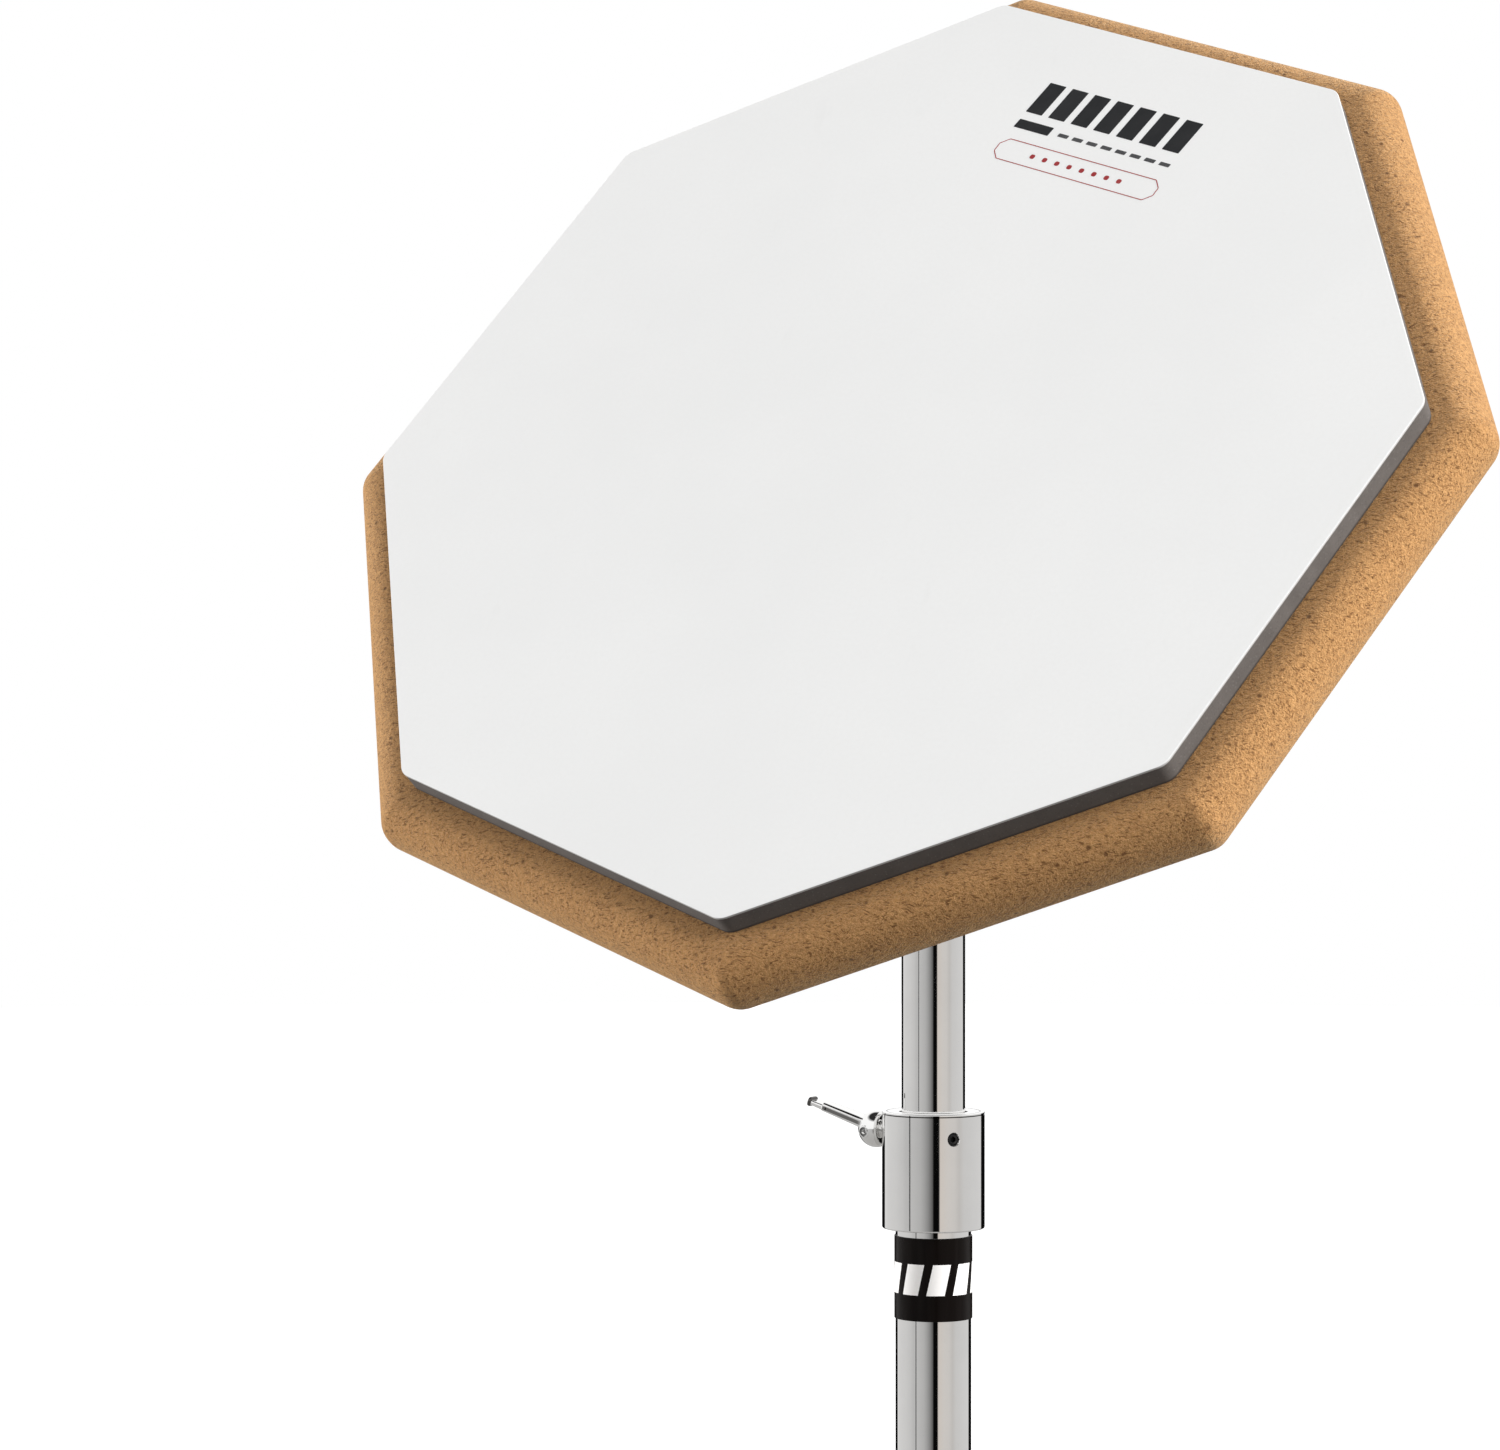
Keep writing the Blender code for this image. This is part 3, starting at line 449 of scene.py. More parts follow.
def fibreboard_material():
    """Bare routed fibreboard: warm tan, finely mottled, with short dark fibres and a few bark spots."""
    p = Paint("fibreboard")
    broad = p.ramp(p.noise(35, 4, 0.6), 0.3, 0.7)
    mottle = p.ramp(p.noise(850, 4, 0.65), 0.42, 0.6)
    fuzz = p.ramp(p.noise(2600, 3, 0.6), 0.35, 0.65)
    colour = p.mix(broad, rgb(0.5, 0.256, 0.096), rgb(0.537, 0.28, 0.107))
    colour = p.mix(p.math("MULTIPLY", mottle, 0.8), colour, rgb(0.305, 0.142, 0.049))
    colour = p.mix(p.math("MULTIPLY", fuzz, 0.55), colour, rgb(0.69, 0.41, 0.187))
    bend = p.add("ShaderNodeTexNoise")
    p.put(bend.inputs["Vector"], p.coords)
    bend.inputs["Scale"].default_value = 120
    for turn in (10, 70, 130):
        lean = p.add("ShaderNodeVectorMath", operation="MULTIPLY_ADD")
        p.put(lean.inputs[0], bend.outputs["Color"])
        lean.inputs[1].default_value = (0.006, 0.006, 0.006)
        p.put(lean.inputs[2], p.coords)
        stretch = p.add("ShaderNodeMapping")
        p.put(stretch.inputs["Vector"], lean.outputs["Vector"])
        stretch.inputs["Rotation"].default_value = (0, 0, math.radians(turn))
        stretch.inputs["Scale"].default_value = (0.3, 1.4, 1.4)
        fibre = p.noise(1500, 1, 0.4, stretch.outputs["Vector"])
        colour = p.mix(p.ramp(fibre, 0.63, 0.71, 0, 0.75), colour, rgb(0.15, 0.066, 0.025))
    bark = p.cells(260)
    rare = p.add("ShaderNodeSeparateColor")
    p.put(rare.inputs["Color"], bark.outputs["Color"])
    chosen = p.ramp(rare.outputs["Red"], 0.8, 0.82)
    spot = p.ramp(bark.outputs["Distance"], 0.1, 0.2, 0.8, 0)
    colour = p.mix(p.math("MULTIPLY", chosen, spot), colour, rgb(0.11, 0.045, 0.018))
    p.set(Base_Color=colour, Roughness=p.ramp(fuzz, 0, 1, 0.68, 0.85), Specular_IOR_Level=0.2)
    p.set(Sheen_Weight=0.45, Sheen_Roughness=0.35, Sheen_Tint=(1, 0.8, 0.55, 1))
    nap = p.math("ADD", p.noise(1000, 5, 0.68), p.math("MULTIPLY", p.noise(2800, 2, 0.5), 0.3))
    p.set(Normal=p.bump(nap, 0.9 * MM, 0.9))
    return p.material


def painted_lever_shade(p, colour):
    """Painted shade and dark reflections on a thumb screw's chrome: in its side grooves, along its brow and on its
    lip.
    """
    lean, narrowing = math.radians(LEVER_LEAN), 0.079
    cos, sin = math.cos(lean), math.sin(lean)
    along, upward = p.axis("Z"), p.axis("Y")
    across = p.math("ADD", p.math("ABSOLUTE", p.axis("X")), p.math("MULTIPLY", along, narrowing))
    height = p.math("ADD", p.math("MULTIPLY", upward, cos), p.math("MULTIPLY", along, -sin))
    length = p.math("ADD", p.math("MULTIPLY", along, cos), p.math("MULTIPLY", upward, sin))
    side = p.math("MULTIPLY", p.ramp(across, 3.0 * MM, 3.2 * MM), p.ramp(along, 2.5 * MM, 4 * MM))
    groove = p.math("MULTIPLY", p.ramp(height, 0.0, 0.15 * MM), p.ramp(height, 1.1 * MM, 0.95 * MM))
    groove = p.math("MULTIPLY", groove, p.ramp(along, 15.4 * MM, 15.1 * MM))
    brow = p.ramp(height, 1.5 * MM, 1.62 * MM)
    colour = p.mix(p.math("MULTIPLY", side, groove), colour, rgb(0.2, 0.195, 0.19))
    colour = p.mix(p.math("MULTIPLY", side, brow), colour, rgb(0.06, 0.058, 0.055))
    return p.mix(p.ramp(length, 19.9 * MM, 20.0 * MM), colour, rgb(0.1, 0.096, 0.092))


def painted_rim_shade(p, colour):
    """Painted shade in the two fine grooves at the collar's upper rim: one round its side, one on its face."""
    rim = extent("height_collar", POST)[1][2]
    height = p.axis("Z")
    squares = [p.math("MULTIPLY", p.axis(way), p.axis(way)) for way in "XY"]
    radius = p.math("POWER", p.math("ADD", *squares), 0.5)
    above = p.ramp(height, rim - 0.8 * MM, rim - 0.76 * MM)
    side = p.math("MULTIPLY", above, p.ramp(height, rim - 0.52 * MM, rim - 0.48 * MM, 1, 0))
    outside = p.ramp(radius, 12.28 * MM, 12.34 * MM)
    face = p.math("MULTIPLY", outside, p.ramp(radius, 12.66 * MM, 12.72 * MM, 1, 0))
    face = p.math("MULTIPLY", face, p.ramp(height, rim - 0.3 * MM, rim - 0.25 * MM))
    return p.mix(p.math("MAXIMUM", side, face), colour, rgb(0.04, 0.038, 0.036))


def chrome_material(name="chrome", shade=None):
    """Mirror chrome plate with faint smudges, hairline rub marks and a slightly uneven plate.

    shade(p, colour) paints shade into its colour, on the pieces that ask for it.
    """
    p = Paint(name)
    smudge = p.noise(55, 5, 0.7)
    rub = p.noise(700, 2, 0.5, p.scaled((1, 1, 0.05)))
    colour = p.mix(p.ramp(smudge, 0.4, 0.7), rgb(0.8, 0.795, 0.785), rgb(0.765, 0.76, 0.752))
    rough = p.math("ADD", p.ramp(smudge, 0.45, 0.75, 0.035, 0.085), p.ramp(rub, 0.62, 0.8, 0, 0.07))
    if shade:
        colour = shade(p, colour)
    p.set(Metallic=1.0, Base_Color=colour, Roughness=rough)
    p.set(Normal=p.bump(p.noise(90, 2, 0.5), 0.02 * MM, 0.5))
    return p.material


def casting_material():
    """Chrome-plated casting: soft reflections over a lightly pebbled skin, darker in the pores."""
    p = Paint("plated_casting")
    pebble = p.noise(900, 4, 0.6)
    pores = p.cells(600).outputs["Distance"]
    edge = p.add("ShaderNodeNewGeometry").outputs["Pointiness"]
    worn = p.ramp(edge, 0.5, 0.58)
    colour = p.mix(p.ramp(pores, 0.05, 0.2, 0.5, 0), rgb(0.7, 0.695, 0.685), rgb(0.4, 0.395, 0.385))
    colour = p.mix(p.math("MULTIPLY", worn, 0.6), colour, rgb(0.8, 0.79, 0.775))
    p.set(Metallic=1.0, Base_Color=colour, Roughness=p.ramp(worn, 0, 1, 0.22, 0.13))
    p.set(Normal=p.bump(pebble, 0.05 * MM, 0.5))
    return p.material


def zinc_material():
    """Bright zinc plate: grey with a faint yellow and blue cast, and fine turning marks."""
    p = Paint("zinc_steel")
    tint = p.ramp(p.noise(140, 3, 0.6), 0.35, 0.65)
    colour = p.mix(tint, rgb(0.6, 0.6, 0.575), rgb(0.53, 0.545, 0.57))
    grime = p.noise(420, 5, 0.7)
    colour = p.mix(p.ramp(grime, 0.58, 0.75, 0, 0.5), colour, rgb(0.33, 0.32, 0.3))
    p.set(Metallic=1.0, Base_Color=colour, Roughness=p.ramp(grime, 0.35, 0.7, 0.26, 0.45))
    p.set(Normal=p.bump(p.noise(1500, 3, 0.6), 0.02 * MM, 0.5))
    return p.material


def nylon_material():
    """Black moulded nylon with a spark-eroded grain and lighter rub marks."""
    p = Paint("black_nylon")
    rub = p.ramp(p.noise(160, 5, 0.7), 0.55, 0.75, 0, 0.6)
    colour = p.mix(rub, rgb(0.018, 0.018, 0.019), rgb(0.05, 0.05, 0.05))
    p.set(Base_Color=colour, Roughness=p.ramp(rub, 0, 0.6, 0.42, 0.6))
    p.set(Normal=p.bump(p.noise(1800, 3, 0.6), 0.04 * MM, 0.6))
    return p.material


def label_material():
    """Black printed film round the tube: satin, with faint wrapping streaks and dust."""
    p = Paint("black_label")
    streak = p.noise(500, 2, 0.5, p.scaled((1, 1, 0.06)))
    colour = p.mix(p.ramp(streak, 0.4, 0.75), rgb(0.003, 0.0018, 0.0014), rgb(0.0055, 0.004, 0.0034))
    dust = p.ramp(p.noise(1300, 4, 0.7), 0.68, 0.8, 0, 0.4)
    colour = p.mix(dust, colour, rgb(0.03, 0.027, 0.025))
    p.set(Base_Color=colour, Roughness=p.ramp(streak, 0.3, 0.7, 0.25, 0.36), Specular_IOR_Level=0.08)
    p.set(Normal=p.bump(streak, 0.02 * MM, 0.4))
    return p.material


def oxide_material():
    """Black oxide steel with brighter worn edges."""
    p = Paint("black_oxide")
    worn = p.ramp(p.noise(900, 4, 0.7), 0.5, 0.75)
    colour = p.mix(worn, rgb(0.012, 0.012, 0.013), rgb(0.07, 0.066, 0.062))
    p.set(Metallic=0.7, Base_Color=colour, Roughness=p.ramp(worn, 0, 1, 0.4, 0.28))
    p.set(Normal=p.bump(p.noise(2000, 2, 0.5), 0.02 * MM, 0.5))
    return p.material


def foot_material():
    """Black moulded rubber, dusty and scuffed near the floor."""
    p = Paint("black_rubber")
    low = p.ramp(p.axis("Z"), 0.0, 0.012, 1, 0)
    dust = p.math("MULTIPLY", p.ramp(p.noise(260, 5, 0.7), 0.35, 0.65), p.ramp(low, 0, 1, 0.25, 0.9))
    colour = p.mix(dust, rgb(0.02, 0.02, 0.02), rgb(0.085, 0.08, 0.072))
    p.set(Base_Color=colour, Roughness=p.ramp(dust, 0, 1, 0.6, 0.85), Specular_IOR_Level=0.3)
    p.set(Normal=p.bump(p.noise(1400, 4, 0.65), 0.06 * MM, 0.7))
    return p.material


def ink_material(name, colour, worn):
    """Printed ink: nearly flat colour, thinner where the coating's tooth shows through."""
    p = Paint(name)
    thin = p.ramp(p.noise(1500, 4, 0.7), 0.55, 0.8, 0, 0.5)
    uneven = p.ramp(p.noise(90, 3, 0.6), 0.4, 0.7, 0, 0.3)
    p.set(Base_Color=p.mix(p.math("ADD", thin, uneven), colour, worn))
    p.set(Roughness=p.ramp(thin, 0, 0.5, 0.42, 0.55), Specular_IOR_Level=0.3)
    p.set(Normal=p.bump(p.noise(1500, 3, 0.6), 0.02 * MM, 0.4))
    return p.material


FINISHES = {
    "white_film": film_material(),
    "grey_rubber": rubber_material(),
    "fibreboard": fibreboard_material(),
    "chrome": chrome_material(),
    "plated_casting": casting_material(),
    "zinc_steel": zinc_material(),
    "black_nylon": nylon_material(),
    "black_label": label_material(),
    "black_oxide": oxide_material(),
    "black_rubber": foot_material(),
}
# The thumb screws' chrome, with painted shade and dark reflections on the lever.
LEVER_CHROME_PAINTED = chrome_material("lever_chrome_painted", painted_lever_shade)
# The collar's chrome, with painted shade in its rim's two fine grooves.
COLLAR_CHROME_PAINTED = chrome_material("collar_chrome_painted", painted_rim_shade)
DARK_INK = ink_material("dark_ink", rgb(0.02, 0.021, 0.023), rgb(0.045, 0.045, 0.047))
GREY_INK = ink_material("grey_ink", rgb(0.07, 0.07, 0.075), rgb(0.13, 0.13, 0.13))
RED_INK = ink_material("red_ink", rgb(0.36, 0.025, 0.03), rgb(0.5, 0.11, 0.11))
WHITE_INK = ink_material("white_ink", rgb(0.93, 0.92, 0.915), rgb(0.83, 0.82, 0.81))


# ---------------------------------------------------------------- pieces


def piece(name, mesh, place, body, slot_name, finish=None, sharp=32, weighted=True):
    """A shown piece that rides on a body. Its mesh comes in the given frame.

    The mesh is moved to the shared frame, and keeps its own frame's coordinates for the materials.
    """
    own = mesh.attributes.new("own", "FLOAT_VECTOR", "POINT")
    flat = np.empty(len(mesh.vertices) * 3, dtype=np.float32)
    mesh.vertices.foreach_get("co", flat)
    own.data.foreach_set("vector", flat)
    mesh.transform(place)
    obj = bpy.data.objects.new(name, mesh)
    bpy.context.scene.collection.objects.link(obj)
    mesh.materials.clear()
    mesh.materials.append(finish or FINISHES[slot_name])
    mesh.shade_smooth()
    mesh.set_sharp_from_angle(angle=math.radians(sharp))
    if weighted:
        normals = obj.modifiers.new("normals", "WEIGHTED_NORMAL")
        normals.keep_sharp = True
    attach(obj, body)
    return obj


def stand_for(node, mesh, place, slot_name, **options):
    """The finished piece for a CAD node."""
    obj = piece(node + "_made", mesh, place, BODY_OF[node], slot_name, **options)
    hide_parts(node)
    return obj


def ring(low, high, inside, outside, edge):
    """A tube or ring's outline, with the four edges rounded."""
    corners = ((inside, low), (outside, low), (outside, high), (inside, high))
    return filleted([(r, z, edge) for r, z in corners])


# ---------------------------------------------------------------- the pad


def build_board():
    low, high = extent("board", PAD @ turned_by(22.5, "Z"))
    width = high[0] - low[0]
    base, top = low[2], high[2]

    def rim(depth):
        return octagon(width - 2 * depth, max(7.5 * MM - depth, 0.05 * MM), 10)

    board = slab("board", rim, base, top, 9.3 * MM, steps=14)
    board = combine(board, [rod("boss_hole", 6.8 * MM, base - 5 * MM, base + 15.5 * MM, steps=64)])
    board = combine(board, [screw_drills(base - 5 * MM, base + 12.5 * MM, 24)])
    # The board, rubber and film are kept out of the chrome's reflections.
    stand_for("board", board, PAD, "fibreboard").visible_glossy = False
    return base, top


def screw_spots():
    """Where the flange's screws are: the middles of the CAD screws in the pad's frame."""
    spots = []
    for number in range(1, 5):
        low, high = extent(f"flange_screw_{number}", PAD)
        spots.append(((low[0] + high[0]) / 2, (low[1] + high[1]) / 2))
    return spots


def screw_drills(low, high, steps):
    """A tool that drills for all the flange's screws at once."""
    drills = [rod("drill", 2.05 * MM, low, high, at(x, y, 0), steps) for x, y in screw_spots()]
    return merged("drills", drills)


def build_playing_face(board_top):
    low, high = extent("striking_film", PAD @ turned_by(22.5, "Z"))
    width, film_top, film_base = high[0] - low[0], high[2], high[2] - 0.65 * MM
    outline = octagon(width, 5 * MM, 10)
    film = slab("film", outline, film_base, film_top, 0.18 * MM, 0.05 * MM)
    stand_for("striking_film", film, PAD, "white_film").visible_glossy = False
    sides = octagon(width - 0.3 * MM, 5 * MM, 10)
    rubber = slab("rubber", sides, board_top + BONDED, film_base - BONDED, 0.25 * MM, 0.35 * MM)
    stand_for("rubber_pad", rubber, PAD, "grey_rubber").visible_glossy = False
    return film_top


def ink(name, corners):
    """A thin printed shape with rounded corners, given as (x, y, radius)."""
    return slab(name, filleted(corners, 4), 0, 0.03 * MM, 0.01 * MM, 0.0001 * MM, steps=1)


def bar(x0, x1, y0, y1, lean):
    """A printed bar, leaning to +X."""
    corners = ((x0, y0), (x1, y0), (x1 + lean, y1), (x0 + lean, y1))
    return ink("bar", [(x, y, 0.2 * MM) for x, y in corners])


def frame_line(half_x, half_y, cut, line):
    """A thin printed line round a rectangle with its corners cut off."""
    x, y = half_x, half_y
    corners = [(x - cut, -y), (x, cut - y), (x, y - cut), (x - cut, y)]
    corners += [(-a, -b) for a, b in corners]
    outer = filleted([(a, b, 0.8 * MM) for a, b in corners], 4)
    inner = inset(outer, line)
    count = len(outer)
    verts = []
    for outline, height in ((outer, 0), (outer, 0.03 * MM), (inner, 0.03 * MM), (inner, 0)):
        verts += [(a, b, height) for a, b in outline]
    faces = []
    for level in range(4):
        for k in range(count):
            a, b = level * count + k, level * count + (k + 1) % count
            faces.append((a, b, (b + count) % (4 * count), (a + count) % (4 * count)))
    return closed_mesh("frame", verts, faces)


def build_print(film_top):
    """Plain printed shapes near one edge of the playing face: leaning bars, dashes and a red frame."""

    def row(count, pitch, start, width, low, high, lean):
        """Equal bars side by side, in millimetres."""
        spots = [start + pitch * k for k in range(count)]
        return [bar(x * MM, (x + width) * MM, low * MM, high * MM, lean * MM) for x in spots]

    def printed(name, meshes, place, finish):
        mesh = merged(name, meshes)
        piece(name, mesh, place, "pad", "black_label", finish=finish, weighted=False)

    spot = PAD @ turned_by(68.6 - PAD_TURN - 90, "Z") @ at(0, 0, film_top + 0.004 * MM)
    bars = row(7, 7.9, -26, 5.6, 107.3, 118.3, 0.9)
    bars.append(bar(-26.2 * MM, -14.2 * MM, 101.6 * MM, 104.6 * MM, 0.3 * MM))
    printed("face_bars", bars, spot, DARK_INK)
    printed("face_dashes", row(8, 5, -11.3, 3.4, 102.3, 103.5, 0.2), spot, GREY_INK)
    square = ((-1, -1), (1, -1), (1, 1), (-1, 1))
    red = [frame_line(27.7 * MM, 3.7 * MM, 2.3 * MM, 0.26 * MM)]
    for k in range(8):
        x, half = (4.3 * k - 15) * MM, 0.75 * MM
        red.append(ink("dot", [(x + half * a, half * b, 0.55 * MM) for a, b in square]))
    printed("face_frame", red, spot @ at(1.15 * MM, 94 * MM, 0), RED_INK)


def build_flange(board_base):
    low, high = extent("threaded_flange", PAD)
    radius, base = high[0], low[2]
    top = base + 1.5 * MM
    tip = high[2]
    outline = filleted(
        [
            (4.3 * MM, base, 0.4 * MM),
            (radius, base, 0.5 * MM),
            (radius, top, 0.3 * MM),
            (6.5 * MM, top, 0.5 * MM),
            (6.5 * MM, tip, 0.4 * MM),
            (4.3 * MM, tip, 0.3 * MM),
        ]
    )
    flange = lathe("flange", outline, 128)
    outline = ((0, 1), (2.0, 0.6), (2.7, -0.1), (0, -0.1))
    cone = lathe("sink", [(radius * MM, base + rise * MM) for radius, rise in outline], 32)
    sinks = [transformed(cone, at(x, y, 0)) for x, y in screw_spots()]
    flange = combine(flange, [screw_drills(base - 1 * MM, base + 5 * MM, 32), merged("sinks", sinks)])
    stand_for("threaded_flange", flange, PAD, "zinc_steel")
    for number, (x, y) in enumerate(screw_spots(), 1):
        head = base - 0.3 * MM
        outline = [(0, board_base + 12 * MM), (0.9 * MM, board_base + 9.5 * MM)]
        outline += thread_points(1.75 * MM, base + 0.2 * MM, board_base + 8.5 * MM, 1.2 * MM)[::-1]
        outline += [(1.75 * MM, head), (3.4 * MM, head), (3.5 * MM, head - 0.25 * MM)]
        outline += [(3.25 * MM, head - 0.75 * MM), (2.6 * MM, head - 1.1 * MM), (1.4 * MM, head - 1.28 * MM)]
        outline += [(0, head - 1.3 * MM)]
        cut_thread = thread(1.75 * MM, base + 0.2 * MM, board_base + 8.5 * MM, 1.2 * MM, 0.4 * MM)
        screw = lathe("screw", outline, 40, cut_thread)
        turn = turned_by(17 + 61 * number, "Z")
        arm = box("arm", (-2.0 * MM, -0.33 * MM, head - 2 * MM), (2.0 * MM, 0.33 * MM, head - 0.35 * MM))
        cross = [transformed(arm, turn), transformed(arm, turn @ turned_by(90, "Z"))]
        screw = combine(screw, cross)
        stand_for(f"flange_screw_{number}", screw, PAD @ at(x, y, 0), "zinc_steel")


# ---------------------------------------------------------------- the tilter


def hex_nut(name, across, low, high, bore, place=None):
    """A hexagonal nut with its corners turned down at both ends, and a chamfered bore."""
    prism = slab(name, hexagon(across), low, high, 0.08 * MM, steps=1)
    reach, chamfer = across / math.sqrt(3) + 0.1 * MM, across * 0.08
    turned = [
        (0, low - 0.02 * MM),
        (across / 2 * 0.96, low - 0.02 * MM),
        (reach, low + chamfer),
        (reach, high - chamfer),
        (across / 2 * 0.96, high + 0.02 * MM),
        (0, high + 0.02 * MM),
    ]
    nut = combine(prism, [lathe("turned", turned, 96)], "INTERSECT")
    sink = 0.6 * MM
    hole = [
        (0, low - 1 * MM),
        (bore + sink + 1 * MM, low - 1 * MM),
        (bore, low + sink),
        (bore, high - sink),
        (bore + sink + 1 * MM, high + 1 * MM),
        (0, high + 1 * MM),
    ]
    return combine(nut, [lathe("hole", hole, 48)])


def build_tilt_head():
    low, high = extent("tilt_knuckle", TILT)
    half, radius, neck = high[0], -low[1], high[2]
    barrel = rod("barrel", radius + 0.05 * MM, -half, half, UP_X, 96)
    rise = lathe("neck", [(0, 0), (7.4 * MM, 0), (7.05 * MM, neck), (0, neck)], 96)
    knuckle = cast(merged("knuckle", [barrel, rise]), 0.32 * MM, 5)
    bores = [
        rod("bolt_hole", 3.3 * MM, -20 * MM, 20 * MM, UP_X, 64),
        rod("stud_hole", 4.3 * MM, 5 * MM, 20 * MM, steps=64),
    ]
    knuckle = combine(knuckle, bores)
    stand_for("tilt_knuckle", knuckle, TILT, "plated_casting", weighted=False)

    low, high = extent("pad_stud", TILT)
    base, tip, radius = low[2], high[2], high[0]
    outline = [(0, tip), (radius - 0.9 * MM, tip)]
    outline += thread_points(radius, base + 1 * MM, tip - 0.7 * MM, 1.25 * MM)[::-1]
    outline += [(radius - 0.6 * MM, base), (0, base)]
    stud = lathe("stud", outline, 48, thread(radius, base + 1 * MM, tip - 0.7 * MM, 1.25 * MM, 0.65 * MM))
    stand_for("pad_stud", stud, TILT, "zinc_steel")

    low, high = extent("lock_nut", TILT)
    nut = hex_nut("lock_nut", 13 * MM, low[2], high[2], 4.1 * MM)
    stand_for("lock_nut", nut, TILT, "zinc_steel")

    low, high = extent("lock_washer", TILT)
    washer = lathe("washer", ring(low[2], high[2], 4.3 * MM, high[0], 0.25 * MM), 96)
    stand_for("lock_washer", washer, TILT, "zinc_steel")


def build_yoke():
    low, high = extent("tilt_yoke", TOP)
    outside, depth, base = high[0], high[1], low[2]
    inside = 8.3 * MM
    middle, half = (inside + outside) / 2, (outside - inside) / 2
    ear = slab("ear", slot(18 * MM, 9.6 * MM, 9.55 * MM), -half, half, 0.3 * MM)
    ears = [transformed(ear, at(x, 0, 0) @ turned_by(90, "Y")) for x in (-middle, middle)]
    block = box("block", (-outside, -9.3 * MM, -27 * MM), (outside, 9.3 * MM, -11.5 * MM))
    socket = rod("socket", 11.6 * MM, base, -20 * MM, steps=96)
    yoke = cast(merged("yoke", [*ears, block, socket]), 0.38 * MM, 6)
    bores = [
        rod("sweep", 10.5 * MM, -inside, inside, UP_X, 96),
        rod("tube_hole", 8.8 * MM, base - 5 * MM, -22 * MM, steps=96),
        rod("bolt_hole", 3.3 * MM, -20 * MM, 20 * MM, UP_X, 64),
        rod("pin_hole", 1.8 * MM, -20 * MM, 20 * MM, at(0, 0, -33 * MM) @ UP_X, 32),
    ]
    yoke = combine(yoke, bores)
    stand_for("tilt_yoke", yoke, TOP, "plated_casting", weighted=False)

    side = TOP @ UP_X
    low, high = extent("tilt_bolt", side)
    tip, head, shoulder = high[2], low[2], low[2] + 4.1 * MM
    outline = [(0, tip), (2.3 * MM, tip)]
    outline += thread_points(3 * MM, outside, tip - 0.6 * MM, 1 * MM)[::-1]
    outline += [(3 * MM, shoulder), (5.5 * MM, shoulder), (5.7 * MM, shoulder - 0.3 * MM)]
    outline += [(5.6 * MM, head + 1.9 * MM), (5.0 * MM, head + 1.0 * MM), (3.8 * MM, head + 0.35 * MM)]
    outline += [(2.2 * MM, head + 0.05 * MM), (0, head)]
    bolt = lathe("bolt", outline, 64, thread(3 * MM, outside, tip - 0.6 * MM, 1 * MM, 0.5 * MM))
    key = slab("key", hexagon(4 * MM), head - 1 * MM, head + 2.4 * MM, 0.02 * MM, steps=1)
    bolt = combine(bolt, [key])
    stand_for("tilt_bolt", bolt, side, "chrome")

    low, high = extent("tilt_washer", side)
    washer = lathe("washer", ring(low[2], high[2], 3.3 * MM, high[0], 0.25 * MM), 96)
    stand_for("tilt_washer", washer, side, "zinc_steel")

    pin_place = TOP @ at(0, 0, -33 * MM) @ UP_X
    low, high = extent("yoke_pin", pin_place)
    corners = [(0, low[2], 0), (1.5 * MM, low[2], 0.4 * MM), (1.5 * MM, high[2], 0.4 * MM), (0, high[2], 0)]
    stand_for("yoke_pin", lathe("pin", filleted(corners), 48), pin_place, "zinc_steel")


def build_wing_nut():
    side = TOP @ UP_X
    low, high = extent("tilt_wing_nut", side)
    base = low[2]
    outline = ((0, 0), (6, 0), (5.6, 2), (4.7, 6), (0, 6))
    hub = lathe("hub", [(radius * MM, base + rise * MM) for radius, rise in outline], 96)
    wing = slab("wing", slot(8 * MM, 2.6 * MM, 3.55 * MM), -1.2 * MM, 1.2 * MM, 0.5 * MM)
    wings = []
    for way in (1, -1):
        turn = turned_by(-90 + way * 52, "Y")
        wings.append(transformed(wing, at(way * 3 * MM, 0, base + 3 * MM) @ turn @ turned_by(90, "X")))
    nut = cast(merged("nut", [hub, *wings]), 0.22 * MM, 5)
    nut = combine(nut, [rod("hole", 3.2 * MM, base - 5 * MM, base + 20 * MM, steps=64)])
    stand_for("tilt_wing_nut", nut, side, "chrome", weighted=False)


# ---------------------------------------------------------------- the post


